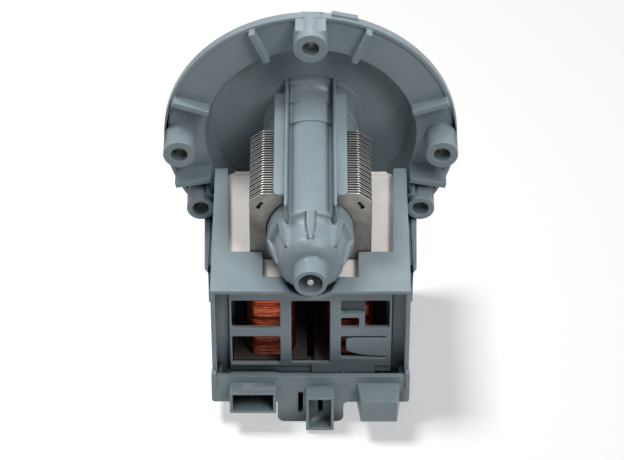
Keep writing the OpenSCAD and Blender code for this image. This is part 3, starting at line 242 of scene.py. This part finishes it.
def sintered_bronze(name):
    """Sintered bronze: warm brown, dull and finely pitted, because it is pressed from powder."""
    material, tree, shader = new_material(name, Roughness=0.45, Metallic=1.0)
    spot = add_node(tree, "TexCoord").outputs["Object"]
    pits = add_node(tree, "TexNoise", {"Scale": 1 / (0.18 * MM), "Detail": 3.0}, {"Vector": spot})
    colour = add_node(tree, "Mix", {"data_type": "RGBA", 6: tone("#7E6038"), 7: tone("#B08D55")},
                      {0: pits.outputs["Fac"]})
    tree.links.new(colour.outputs[2], shader.inputs["Base Color"])
    bump = add_node(tree, "Bump", {"Strength": 0.3, "Distance": 0.05 * MM}, {"Height": pits.outputs["Fac"]})
    tree.links.new(bump.outputs["Normal"], shader.inputs["Normal"])
    return material


def ground_steel(name, colour, roughness):
    """Ground stainless steel: bright, with fine rings round the axis from the grinding wheel."""
    material, tree, shader = new_material(name, Roughness=roughness, Metallic=1.0, Base_Color=tone(colour))
    spot = add_node(tree, "TexCoord").outputs["Object"]
    rings = add_node(tree, "TexWave", {"wave_type": "BANDS", "bands_direction": "Y",
                                       "Scale": 1 / (2 * MM), "Distortion": 1.5, "Detail": 3.0},
                     {"Vector": spot})
    finish = add_node(tree, "MapRange", {"To Min": roughness - 0.06, "To Max": roughness + 0.12},
                      {"Value": rings.outputs["Fac"]})
    tree.links.new(finish.outputs["Result"], shader.inputs["Roughness"])
    return material


def ferrite(name):
    """Sintered ferrite: charcoal black, slightly shiny where it has been ground round."""
    material, tree, shader = new_material(name, Roughness=0.38)
    spot = add_node(tree, "TexCoord").outputs["Object"]
    grit = add_node(tree, "TexNoise", {"Scale": 1 / (0.4 * MM), "Detail": 6.0}, {"Vector": spot})
    colour = add_node(tree, "Mix", {"data_type": "RGBA", 6: tone("#242427"), 7: tone("#4A4A4D")},
                      {0: grit.outputs["Fac"]})
    tree.links.new(colour.outputs[2], shader.inputs["Base Color"])
    bump = add_node(tree, "Bump", {"Strength": 0.25, "Distance": 0.05 * MM},
                    {"Height": grit.outputs["Fac"]})
    tree.links.new(bump.outputs["Normal"], shader.inputs["Normal"])
    return material


def dress(node, material):
    """Gives a CAD node that stays its finish."""
    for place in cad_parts[node].material_slots:
        place.material = material


bush_bronze = sintered_bronze("sintered_bronze")
shaft_steel = ground_steel("ground_stainless_steel", "#C9CBCC", 0.22)
pin_steel = ground_steel("dull_stainless_steel", "#A4A9AE", 0.5)
magnet_ferrite = ferrite("sintered_ferrite")
dress("front_bush", bush_bronze)
dress("rear_bush", bush_bronze)
dress("shaft", shaft_steel)
dress("thrust_pin", pin_steel)
dress("rotor_magnet", magnet_ferrite)
dress("bearing_carrier", housing_grey)

# Impeller and the white parts on the shaft: acetal resin, moulded, smooth and slightly waxy. The
# impeller's cap closes the hub chamber, in which the drive dog on the shaft has its free turn.
IMPELLER_EDGE = 0.3 * MM
RESIN_WHITE = "#DADCDB"
# The lighter edge colour: partly handling wear, partly painted highlight.
RESIN_WEAR_HIGHLIGHT = "#E6E8E8"
RESIN_DEEP = "#CDD0CF"
# The colour of the painted shade in the white parts' corners.
RESIN_CORNER_SHADE = "#A9ACAB"
resin_white = moulded_plastic("white_acetal", RESIN_WHITE, RESIN_WEAR_HIGHLIGHT, RESIN_DEEP, RESIN_CORNER_SHADE, 0.36,
                              round_mm=0.3)
for node in ("rotor_sleeve", "drive_dog", "thrust_washer"):
    dress(node, resin_white)
for node, piece in (("impeller", "impeller_moulding"), ("impeller_cap", "impeller_cap_moulding")):
    shape = merged_copy(node)
    round_edges(shape, IMPELLER_EDGE)
    make_piece(shape, piece, resin_white, "impeller", [node])

# Core: two poles and a yoke, each a stack of punched electrical sheets, held together by locked dimples
# and pushed into one another. The sheets' edges are bare and grey, and dark gaps show between them; the
# inner faces of the sheets are painted near black, as shade.
SHEETS = 27
SHEET_SHARE = 0.42
STAGGER = 0.13 * MM
PUNCH_ROUND = 0.5 * MM
SHEET_DROP = 0.04 * MM
PLANE_SLACK = 0.05 * MM
# Between these heights in mm, parts inside the coil box are painted darker, as shade.
LOW_SHADE_TOP = -14
LOW_SHADE_BOTTOM = -20
random.seed(41)


def painted_shade_below(tree, shader, top_mm, bottom_mm, colour, share=1.0):
    """Painted shade low in the coil box: the colour changes between two heights."""
    height = add_node(tree, "SeparateXYZ", links={"Vector": add_node(tree, "TexCoord").outputs["Object"]})
    run = add_node(tree, "MapRange", {"From Min": top_mm * MM, "From Max": bottom_mm * MM, "To Max": share},
                   {"Value": height.outputs["Z"]})
    shaded_low = add_node(tree, "Mix", {"data_type": "RGBA", 7: tone(colour)},
                       {0: run.outputs["Result"], 6: shader.inputs["Base Color"].links[0].from_socket})
    tree.links.new(shaded_low.outputs[2], shader.inputs["Base Color"])


def silicon_steel(name):
    """Electrical sheet: warm grey varnished faces and faint drag marks. Painted highlights make the sheared
    edges and narrow corner faces lighter; painted shade makes the slanted faces and hollows darker."""
    material, tree, shader = new_material(name, Roughness=0.42, Metallic=0.85)
    spot = add_node(tree, "TexCoord").outputs["Object"]
    oxide = add_node(tree, "TexNoise", {"Scale": 1 / (9 * MM), "Detail": 5.0, "Roughness": 0.6},
                     {"Vector": spot})
    shade = add_node(tree, "MapRange", {"From Min": 0.35, "From Max": 0.7}, {"Value": oxide.outputs["Fac"]})
    face = add_node(tree, "Mix", {"data_type": "RGBA", 6: tone("#ADA8A2"), 7: tone("#7E7974")},
                    {0: shade.outputs["Result"]})
    way = add_node(tree, "SeparateXYZ", links={"Vector": add_node(tree, "TexCoord").outputs["Normal"]})
    lean = add_node(tree, "Math", {"operation": "MULTIPLY"}, {0: way.outputs["X"], 1: way.outputs["Z"]})
    slant = add_node(tree, "Math", {"operation": "ABSOLUTE"}, {0: lean.outputs["Value"]})
    # Painted shade: faces that slant between the top and the side, found by the way they point, are
    # darkened.
    slant_shade_mask = add_node(tree, "MapRange", {"From Min": 0.4, "From Max": 0.46, "To Max": 0.7},
                    {"Value": slant.outputs["Value"]})
    slant_shaded = add_node(tree, "Mix", {"data_type": "RGBA", 7: tone("#2E2E2B")},
                   {0: slant_shade_mask.outputs["Result"], 6: face.outputs[2]})
    # Painted highlight: the narrow rounded corner faces, found by the way they point, go near white.
    corner = add_node(tree, "MapRange", {"From Min": 0.05, "From Max": 0.12},
                      {"Value": slant.outputs["Value"]})
    glint_mask = add_node(tree, "Math", {"operation": "SUBTRACT"},
                      {0: corner.outputs["Result"], 1: slant_shade_mask.outputs["Result"]})
    bright = add_node(tree, "Mix", {"data_type": "RGBA", 7: tone("#FAF9F7")},
                      {0: glint_mask.outputs["Value"], 6: slant_shaded.outputs[2]})
    # Painted highlight: near an edge the colour is mixed lighter.
    soft = add_node(tree, "Bevel", {"samples": 4, "Radius": 0.12 * MM})
    facing = add_node(tree, "NewGeometry")
    bend = add_node(tree, "VectorMath", {"operation": "DOT_PRODUCT"},
                    {0: soft.outputs["Normal"], 1: facing.outputs["Normal"]})
    edge = add_node(tree, "MapRange", {"From Min": 0.99, "From Max": 0.8}, {"Value": bend.outputs["Value"]})
    colour = add_node(tree, "Mix", {"data_type": "RGBA", 7: tone("#DEDCD9")},
                      {0: edge.outputs["Result"], 6: bright.outputs[2]})
    # Painted shade: where other surfaces are near, the colour goes towards near black.
    room = add_node(tree, "AmbientOcclusion", {"samples": 8, "Distance": 12 * MM})
    painted_shade_mask = add_node(tree, "MapRange", {"From Min": 0.3, "From Max": 0.1}, {"Value": room.outputs["AO"]})
    deep = add_node(tree, "Mix", {"data_type": "RGBA", 7: tone("#0C0B0A")},
                    {0: painted_shade_mask.outputs["Result"], 6: colour.outputs[2]})
    tree.links.new(deep.outputs[2], shader.inputs["Base Color"])
    # Painted shade: low in the coil box the sheets go near black.
    painted_shade_below(tree, shader, LOW_SHADE_TOP, LOW_SHADE_BOTTOM, "#0C0B0A")
    rough = add_node(tree, "MapRange", {"To Min": 0.34, "To Max": 0.52}, {"Value": oxide.outputs["Fac"]})
    tree.links.new(rough.outputs["Result"], shader.inputs["Roughness"])
    drag = add_node(tree, "Mapping", {"Scale": (1.0, 1.0, 0.08)}, {"Vector": spot})
    marks = add_node(tree, "TexNoise", {"Scale": 1 / (0.12 * MM), "Detail": 2.0},
                     {"Vector": drag.outputs["Vector"]})
    bump = add_node(tree, "Bump", {"Strength": 0.12, "Distance": 0.05 * MM},
                    {"Height": marks.outputs["Fac"], "Normal": soft.outputs["Normal"]})
    tree.links.new(bump.outputs["Normal"], shader.inputs["Normal"])
    return material


def sheet_outline(node, side):
    """The flat outline of a core piece, taken from its near face (-1) or its far face (1)."""
    shape = merged_copy(node)
    low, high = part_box(node)
    plane = low.y if side < 0 else high.y
    shape.faces.ensure_lookup_table()
    keep = [f for f in shape.faces
            if f.normal.y * side > 0.99 and abs(f.calc_center_median().y - plane) < PLANE_SLACK]
    drop = [f for f in shape.faces if f not in set(keep)]
    bmesh.ops.delete(shape, geom=drop, context="FACES")
    for v in shape.verts:
        v.co.y = 0
    corners = [v for v in shape.verts if len(v.link_edges) == 2
               and min(e.calc_length() for e in v.link_edges) > 2.5 * PUNCH_ROUND
               and v.calc_edge_angle(0) > SHARP_ANGLE]
    bmesh.ops.bevel(shape, geom=corners, offset=PUNCH_ROUND, offset_type="OFFSET", affect="VERTICES",
                    segments=3, profile=0.5, material=-1, clamp_overlap=True)
    mesh = bpy.data.meshes.new(node + "_outline")
    shape.to_mesh(mesh)
    shape.free()
    return mesh


def sheet_stack(node):
    """A stack of sheets with dark gaps, of which the nearest one has the near face's outline."""
    low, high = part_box(node)
    pitch = (high.y - low.y) / SHEETS
    near, far = sheet_outline(node, -1), sheet_outline(node, 1)
    stack = bmesh.new()
    for i in range(SHEETS):
        sheet = bmesh.new()
        sheet.from_mesh(near if i == 0 else far)
        thick = pitch * SHEET_SHARE
        grown = bmesh.ops.extrude_face_region(sheet, geom=sheet.faces[:])
        moved = [g for g in grown["geom"] if isinstance(g, bmesh.types.BMVert)]
        bmesh.ops.translate(sheet, verts=moved, vec=(0, thick, 0))
        bmesh.ops.recalc_face_normals(sheet, faces=sheet.faces)
        for f in sheet.faces:
            outer = (i == 0 and f.normal.y < -0.9) or (i == SHEETS - 1 and f.normal.y > 0.9)
            # Inner faces get the second material: painted shade, near black.
            f.material_index = 0 if outer or abs(f.normal.y) < 0.9 else 1
        aside = STAGGER * (1 if i % 2 else -1) * random.uniform(0.5, 1.0)
        lift = random.uniform(-SHEET_DROP, 0.0)
        bmesh.ops.translate(sheet, verts=sheet.verts, vec=(aside, low.y + i * pitch, lift))
        mesh = bpy.data.meshes.new("sheet")
        sheet.to_mesh(mesh)
        sheet.free()
        stack.from_mesh(mesh)
        bpy.data.meshes.remove(mesh)
    bpy.data.meshes.remove(near)
    bpy.data.meshes.remove(far)
    return stack


core_sheet = silicon_steel("silicon_steel_sheet")
# Painted shade: near black for the sheets' inner faces, where the gaps are.
gap_painted_shade = new_material("core_gap_painted_shade", Base_Color=tone("#141413"), Roughness=0.6)[0]
for node in ("core_left", "core_right", "core_yoke"):
    stack = make_piece(sheet_stack(node), node + "_sheets", core_sheet, "housing", [node],
                       smooth=False)
    stack.data.materials.append(gap_painted_shade)

# Bobbins: cream nylon mouldings, pushed over the legs of the core. Each has a wide flange above and
# below the winding. The nylon is glass filled, so it is matt. Low in the box it is painted darker and
# browner, as shade.
BOBBIN_EDGE = 0.3 * MM
BOBBIN_CREAM = "#FCF7F2"
# The lighter edge colour: partly handling wear, partly painted highlight.
BOBBIN_WEAR_HIGHLIGHT = "#FCFAF7"
BOBBIN_DEEP = "#F3EEE8"
# The colour of the painted shade in the bobbins' corners.
BOBBIN_CORNER_SHADE = "#8A847C"
# The colour of the painted shade low in the coil box.
BOBBIN_LOW_SHADE = "#534D48"
bobbin_nylon = moulded_plastic("cream_nylon", BOBBIN_CREAM, BOBBIN_WEAR_HIGHLIGHT, BOBBIN_DEEP, BOBBIN_CORNER_SHADE, 0.5,
                               round_mm=0.4, reach_mm=1.5, grain_mm=0.3, grain=0.08)
tree = bobbin_nylon.node_tree
# Painted shade: low in the coil box the bobbins go dark brownish grey.
painted_shade_below(tree, tree.nodes["Principled BSDF"], LOW_SHADE_TOP, LOW_SHADE_BOTTOM, BOBBIN_LOW_SHADE)
for side in ("left", "right"):
    shape = merged_copy("bobbin_" + side)
    round_edges(shape, BOBBIN_EDGE)
    make_piece(shape, "bobbin_moulding_" + side, bobbin_nylon, "housing", ["bobbin_" + side])

# Coils: enamelled copper wire, wound on the bobbins by machine. The right one has a darker copy of the
# copper, as painted shade.
# The real wire is about 0.2 mm thick. It is drawn at 0.42 mm, as coarse as it needs to be to show, in two
# close layers and a few loose turns over the plain winding.
COPPER_DARK = "#7C2510"
COPPER_LIGHT = "#FF8355"
# Darker copper colours for the right coil: painted shade.
SHADED_COPPER_DARK = "#52160B"
SHADED_COPPER_LIGHT = "#A84A32"
# Between these heights in mm the copper is painted darker and browner, as shade.
COPPER_SHADE_TOP = -30
COPPER_SHADE_BOTTOM = -40
COPPER_LOW_SHADE = "#2A0D08"
COPPER_SHADE_SHARE = 0.6
WIRE = 0.42 * MM
LAYER_TURNS = (76, 74)
LAYER_INSETS = (2.45, 1.5)
LOOSE_INSET = 0.7
LOOSE_TURNS = 9
WANDER = 0.4 * MM
LEAD_X = 1.6 * MM
CORNER_STEPS = 5
STRAIGHT_STEPS = 6
FIRST_CORNER = 3.0 * MM
FIRST_HALF_X = 6.95 * MM
SWELL = 0.12 * MM
LOOSE_WANDER = 5.0 * MM
COIL_EDGE = 0.3 * MM


def enamelled_copper(name, dark, light):
    """Enamelled copper wire: metal seen through a clear brown-orange varnish, glossy, each turn a
    little lighter or darker than the next. Hollows and the turns low down are darker and browner: painted
    shade."""
    material, tree, shader = new_material(name, Roughness=0.36, Metallic=0.9, Coat_Weight=0.3,
                                          Coat_Roughness=0.2)
    spot = add_node(tree, "TexCoord").outputs["Object"]
    along = add_node(tree, "Mapping", {"Scale": (0.12, 0.12, 1.0)}, {"Vector": spot})
    turns = add_node(tree, "TexNoise", {"Scale": 1 / (0.55 * MM), "Detail": 4.0, "Roughness": 0.8},
                     {"Vector": along.outputs["Vector"]})
    shade = add_node(tree, "MapRange", {"From Min": 0.36, "From Max": 0.64},
                     {"Value": turns.outputs["Fac"]})
    colour = add_node(tree, "Mix", {"data_type": "RGBA", 6: tone(dark), 7: tone(light)},
                      {0: shade.outputs["Result"]})
    # Painted shade: where other surfaces are near, the colour goes towards near black.
    room = add_node(tree, "AmbientOcclusion", {"samples": 8, "Distance": 6 * MM})
    painted_shade_mask = add_node(tree, "MapRange", {"From Min": 0.25, "From Max": 0.05}, {"Value": room.outputs["AO"]})
    deep = add_node(tree, "Mix", {"data_type": "RGBA", 7: tone("#160403")},
                    {0: painted_shade_mask.outputs["Result"], 6: colour.outputs[2]})
    tree.links.new(deep.outputs[2], shader.inputs["Base Color"])
    # Painted shade: darker and browner low down.
    painted_shade_below(tree, shader, COPPER_SHADE_TOP, COPPER_SHADE_BOTTOM, COPPER_LOW_SHADE, COPPER_SHADE_SHARE)
    return material


def turn_point(share, half_x, half_y, corner):
    """A point of a rounded oblong, at a share of the way round it, and the way out from there."""
    quarter = int(share * 4) % 4
    part = share * 4 - int(share * 4)
    sign_x, sign_y, start = ((1, 1, 0), (-1, 1, 90), (-1, -1, 180), (1, -1, 270))[quarter]
    straight = STRAIGHT_STEPS / (STRAIGHT_STEPS + CORNER_STEPS)
    centre = Vector((sign_x * (half_x - corner), sign_y * (half_y - corner), 0))
    if part >= straight:
        angle = math.radians(start + 90 * (part - straight) / (1 - straight))
        way = Vector((math.cos(angle), math.sin(angle), 0))
        return centre + way * corner, way
    angle = math.radians(start)
    way = Vector((math.cos(angle), math.sin(angle), 0))
    last = ((1, -1), (1, 1), (-1, 1), (-1, -1))[quarter]
    before = Vector((last[0] * (half_x - corner), last[1] * (half_y - corner), 0))
    return before.lerp(centre, part / straight) + way * corner, way


def wound_wire(centre_x, centre_y, low_z, high_z, half_x, half_y, turns, wander, seed):
    """One layer of wire as a bare line: a helix whose turns wander up and down by a little."""
    steps = 4 * (CORNER_STEPS + STRAIGHT_STEPS)
    corner = FIRST_CORNER + half_x - FIRST_HALF_X
    points = []
    for i in range(int(turns * steps) + 1):
        share = i / steps
        spot, way = turn_point(share % 1.0, half_x, half_y, corner)
        rise = share / turns
        stray = noise.noise(Vector((share * 0.37 + seed, i * 0.021, seed))) * wander
        swell = noise.noise(Vector((share * 0.9, i * 0.05, seed + 9))) * SWELL
        z = min(max(low_z + (high_z - low_z) * rise + stray, low_z), high_z)
        points.append((centre_x + spot.x + way.x * swell, centre_y + spot.y + way.y * swell, z))
    return points


def wire_mesh(lines, name):
    """Gives the lines of a coil their round section."""
    curve = bpy.data.curves.new(name, "CURVE")
    curve.dimensions = "3D"
    curve.bevel_depth = WIRE / 2
    curve.bevel_resolution = 1
    curve.use_fill_caps = True
    for points in lines:
        line = curve.splines.new("POLY")
        line.points.add(len(points) - 1)
        for i, point in enumerate(points):
            line.points[i].co = (*point, 1.0)
    drawn = bpy.data.objects.new(name, curve)
    bpy.context.scene.collection.objects.link(drawn)
    bpy.context.view_layer.update()
    mesh = bpy.data.meshes.new_from_object(drawn)
    bpy.data.objects.remove(drawn)
    bpy.data.curves.remove(curve)
    shape = bmesh.new()
    shape.from_mesh(mesh)
    bpy.data.meshes.remove(mesh)
    return shape


left_copper = enamelled_copper("enamelled_copper", COPPER_DARK, COPPER_LIGHT)
# The right coil's copper is a darker copy: painted shade.
shaded_copper = enamelled_copper("copper_painted_shade", SHADED_COPPER_DARK, SHADED_COPPER_LIGHT)
for seed, (side, copper) in enumerate((("left", left_copper), ("right", shaded_copper))):
    low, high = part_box("coil_turns_" + side)
    middle = (low + high) / 2
    half = (high - low) / 2
    body_low, body_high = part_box("winding_" + side)
    low_z, high_z = body_low.z + WIRE / 2, body_high.z - WIRE / 2
    lead_y = high.y - WIRE / 2
    lines = [[(middle.x - LEAD_X, lead_y, low.z), (middle.x - LEAD_X, lead_y, low_z),
              (middle.x, lead_y - WIRE, low_z + LEAD_X)],
             [(middle.x, lead_y - WIRE, high_z - LEAD_X), (middle.x + LEAD_X, lead_y, high_z),
              (middle.x + LEAD_X, lead_y, high.z)]]
    for layer, turns in enumerate(LAYER_TURNS):
        inward = WIRE * LAYER_INSETS[layer]
        lines.append(wound_wire(middle.x, middle.y, low_z, high_z, half.x - inward, half.y - inward,
                                turns, WANDER, seed * 7 + layer))
    inward = WIRE * LOOSE_INSET
    lines.append(wound_wire(middle.x, middle.y, low_z, high_z, half.x - inward, half.y - inward,
                            LOOSE_TURNS, LOOSE_WANDER, seed * 7 + 5))
    shape = wire_mesh(lines, "coil_wire_" + side)
    make_piece(shape, "coil_wire_" + side, copper, "housing", ["coil_turns_" + side])
    shape = merged_copy("winding_" + side)
    round_edges(shape, COIL_EDGE)
    make_piece(shape, "coil_body_" + side, copper, "housing", ["winding_" + side])

# Coil cover and window plate: grey mouldings that clip together round the coils. The plate has five
# cooling windows and a sprung tongue, and slides down into channels behind the cover's rear edges.
# The set-back panel in its upper right window has a darker, duller copy of the grey: painted shade.
COVER_EDGE = 0.3 * MM
WINDOW_CORNER = 0.9 * MM
PLATE_THICK = 1.6 * MM
PANEL_DEPTH = 1.2 * MM
PANEL_LOW_Z = -32.0 * MM
# The panel's darker greys: painted shade.
PANEL_SHADE_GREY = "#646E73"
PANEL_SHADE_DEEP = "#5A6469"
PANEL_ROUGHNESS = 0.42
PANEL_SHEEN = 0.2


def fillet_corners(shape, length, width):
    """Rounds the inner corners that run along Y through the plate, where their sides have room."""
    corners = []
    for e in shape.edges:
        run = e.verts[1].co - e.verts[0].co
        sides = [f.calc_length() for v in e.verts for f in v.link_edges if f is not e]
        if (abs(run.x) + abs(run.z) < 0.01 * MM and abs(abs(run.y) - length) < PLANE_SLACK
                and not e.is_convex and min(sides) > 2.2 * width):
            corners.append(e)
    bmesh.ops.bevel(shape, geom=corners, offset=width, offset_type="OFFSET", affect="EDGES", segments=4,
                    profile=0.5, material=-1, clamp_overlap=True)


panel_shaded_grey = moulded_plastic("grey_polypropylene_painted_shade", PANEL_SHADE_GREY, PANEL_SHADE_GREY, PANEL_SHADE_DEEP,
                             HOUSING_CORNER_SHADE, PANEL_ROUGHNESS, PANEL_SHEEN)
shape = merged_copy("window_plate")
fillet_corners(shape, PLATE_THICK, WINDOW_CORNER)
round_edges(shape, COVER_EDGE)
plate_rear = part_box("window_plate")[0].y
# Painted shade: the faces of the set-back panel take the darker copy of the grey.
for f in shape.faces:
    spot = f.calc_center_median()
    if f.normal.y < -0.9 and spot.y > plate_rear + PANEL_DEPTH and spot.z > PANEL_LOW_Z:
        f.material_index = 1
plate = make_piece(shape, "window_plate_moulding", housing_grey, "housing",
                   ["window_plate"])
plate.data.materials.append(panel_shaded_grey)
shape = merged_copy("coil_cover")
round_edges(shape, COVER_EDGE)
make_piece(shape, "coil_cover_moulding", housing_grey, "housing", ["coil_cover"])

# Connector housing: a grey moulding with two sockets and a solid block, clipped below the window plate.
# Its upper rear edge is well rounded. An ear at each end hooks round the cover's side wall and stands a
# little proud. The sockets are dark inside, so the painted shade in corners reaches further here.
SOCKET_SHADE_REACH = 9.4
BROW_ROUND = 1.1 * MM
CONNECTOR_REAR = -81.0 * MM
CONNECTOR_TOP = -47.7 * MM
EAR_X = (33.3 * MM, 35.0 * MM)
EAR_Z = (-53.6 * MM, -46.2 * MM)
EAR_PROUD = 0.5 * MM
EAR_ROOT = 2.4 * MM


def solid_block(x, y, z):
    """A block between pairs of x, y and z."""
    shape = bmesh.new()
    bmesh.ops.create_cube(shape, size=1.0)
    for v in shape.verts:
        v.co = Vector((x[v.co.x > 0], y[v.co.y > 0], z[v.co.z > 0]))
    bmesh.ops.recalc_face_normals(shape, faces=shape.faces)
    return shape


# A copy of the grey whose painted shade in corners reaches further, for the dark sockets.
socket_shaded_grey = moulded_plastic("socket_grey_polypropylene", HOUSING_GREY, HOUSING_WEAR_HIGHLIGHT, HOUSING_DEEP,
                              HOUSING_CORNER_SHADE, HOUSING_ROUGHNESS, HOUSING_SHEEN, reach_mm=SOCKET_SHADE_REACH)
shape = merged_copy("connector_housing")
brow = [e for e in shape.edges if e.is_convex and abs(e.verts[0].co.x - e.verts[1].co.x) > 4 * MM
        and all(abs(v.co.y - CONNECTOR_REAR) < PLANE_SLACK and abs(v.co.z - CONNECTOR_TOP) < PLANE_SLACK
                for v in e.verts)]
bmesh.ops.bevel(shape, geom=brow, offset=BROW_ROUND, offset_type="OFFSET", affect="EDGES", segments=4,
                profile=0.5, material=-1, clamp_overlap=True)
round_edges(shape, COVER_EDGE)
make_piece(shape, "connector_moulding", socket_shaded_grey, "housing", ["connector_housing"])
for side, name in ((-1, "left"), (1, "right")):
    reach = sorted(side * x for x in EAR_X)
    shape = solid_block(reach, (CONNECTOR_REAR - EAR_PROUD, CONNECTOR_REAR + EAR_ROOT), EAR_Z)
    round_edges(shape, COVER_EDGE)
    make_piece(shape, "connector_ear_" + name, housing_grey, "housing")

# Terminals: tinned brass tabs, punched from strip. They are pushed into the two slots of the connector,
# and only their ends show there.


def tinned_brass(name):
    """Tinned brass: pale and slightly yellow metal, satin, with soft rolling lines."""
    material, tree, shader = new_material(name, Roughness=0.3, Metallic=1.0)
    spot = add_node(tree, "TexCoord").outputs["Object"]
    stretch = add_node(tree, "Mapping", {"Scale": (1.0, 0.05, 1.0)}, {"Vector": spot})
    lines = add_node(tree, "TexNoise", {"Scale": 1 / (0.2 * MM), "Detail": 3.0},
                     {"Vector": stretch.outputs["Vector"]})
    colour = add_node(tree, "Mix", {"data_type": "RGBA", 6: tone("#B5B1A4"), 7: tone("#D2CFC6")},
                      {0: lines.outputs["Fac"]})
    tree.links.new(colour.outputs[2], shader.inputs["Base Color"])
    bump = add_node(tree, "Bump", {"Strength": 0.1, "Distance": 0.03 * MM},
                    {"Height": lines.outputs["Fac"]})
    tree.links.new(bump.outputs["Normal"], shader.inputs["Normal"])
    return material


tab_brass = tinned_brass("tinned_brass")
dress("terminal_left", tab_brass)
dress("terminal_right", tab_brass)

# Floor: a wide matt white sheet that the pump stands on. The camera sees it white, and it keeps the
# pump's soft shadow.
FLOOR_SIZE = 4.0
FLOOR_GLOW = 0.48
FLOOR_TONE = "#F2F2F2"


def seen_directly(tree):
    """One where a ray comes from the camera, a reflection or a clear piece, zero elsewhere."""
    path = add_node(tree, "LightPath")
    two = add_node(tree, "Math", {"operation": "MAXIMUM"},
                   {0: path.outputs["Is Camera Ray"], 1: path.outputs["Is Glossy Ray"]})
    return add_node(tree, "Math", {"operation": "MAXIMUM"},
                    {0: two.outputs["Value"], 1: path.outputs["Is Transmission Ray"]}).outputs["Value"]


floor_white, tree, shader = new_material("white_floor", Roughness=0.9, Base_Color=tone(FLOOR_TONE))
glow = add_node(tree, "Math", {"operation": "MULTIPLY", 1: FLOOR_GLOW}, {0: seen_directly(tree)})
shader.inputs["Emission Color"].default_value = (1, 1, 1, 1)
tree.links.new(glow.outputs["Value"], shader.inputs["Emission Strength"])
shape = bmesh.new()
bmesh.ops.create_grid(shape, x_segments=1, y_segments=1, size=FLOOR_SIZE / 2)
bmesh.ops.translate(shape, verts=shape.verts, vec=(0, 0, cad_box[0][2]))
floor_mesh = bpy.data.meshes.new("floor")
shape.to_mesh(floor_mesh)
shape.free()
floor_mesh.materials.append(floor_white)
floor = bpy.data.objects.new("floor", floor_mesh)
bpy.context.scene.collection.objects.link(floor)

# Light: white surroundings, a strong lamp high on the left, and weaker ones overhead, on the right, in
# front and behind. The floor has a lamp of its own, high on the left, and only the coil cover and the
# connector shade it, so that one soft shadow falls to the right of the pump.
AMBIENT = 0.085
OBJECT_MIDDLE = Vector((0, -0.04, -0.02))
world = bpy.data.worlds.new("white_studio")
world.use_nodes = True
tree = world.node_tree
level = add_node(tree, "MapRange", {"To Min": AMBIENT, "To Max": 1.0}, {"Value": seen_directly(tree)})
tree.nodes["Background"].inputs["Color"].default_value = (1, 1, 1, 1)
tree.links.new(level.outputs["Result"], tree.nodes["Background"].inputs["Strength"])
bpy.context.scene.world = world


def lamp(name, place, size, level):
    """A square soft lamp aimed at the pump, which lights a white card there at that level."""
    data = bpy.data.lights.new(name, "AREA")
    data.size = size
    away = Vector(place) - OBJECT_MIDDLE
    data.energy = level * math.pi ** 2 * away.length_squared
    light = bpy.data.objects.new(name, data)
    light.location = place
    light.rotation_euler = away.to_track_quat("Z", "Y").to_euler()
    bpy.context.scene.collection.objects.link(light)
    return light


floor_only = bpy.data.collections.new("floor_only")
floor_only.objects.link(floor)
all_but_floor = bpy.data.collections.new("all_but_the_floor")
all_but_floor.objects.link(floor)
all_but_floor.collection_objects[0].light_linking.link_state = "EXCLUDE"
# Each lamp has its place and width in metres, and its level.
floor_lamp = lamp("floor_lamp", (-0.260, -0.020, 0.680), 0.20, 0.66)
floor_lamp.light_linking.receiver_collection = floor_only
coil_box = bpy.data.collections.new("coil_box")
for name in ("coil_cover_moulding", "connector_moulding"):
    coil_box.objects.link(bpy.data.objects[name])
floor_lamp.light_linking.blocker_collection = coil_box
for light in (lamp("left_lamp", (-0.250, 0.135, 0.665), 0.20, 0.415),
              lamp("overhead_lamp", (-0.133, -0.198, 0.701), 0.30, 0.10),
              lamp("right_lamp", (0.305, -0.040, 0.665), 0.20, 0.24),
              lamp("front_lamp", (0.277, -0.435, 0.555), 0.25, 0.325),
              lamp("back_lamp", (0.0, 0.517, 0.482), 0.25, 0.077)):
    light.light_linking.receiver_collection = all_but_floor

# Camera: a long lens, looking down on the pump's motor side at the angle of the photograph. Colours are
# shown as they are, without a film look.
LENS = 163.85
CAMERA_PLACE = (0.0005, -0.8133, 0.6387)
CAMERA_TILT = math.radians(49.8)
camera_data = bpy.data.cameras.new("camera")
camera_data.sensor_width = 36
camera_data.lens = LENS
camera = bpy.data.objects.new("camera", camera_data)
camera.location = CAMERA_PLACE
camera.rotation_euler = (CAMERA_TILT, 0, 0)
bpy.context.scene.collection.objects.link(camera)
bpy.context.scene.camera = camera
bpy.context.scene.view_settings.view_transform = "Standard"
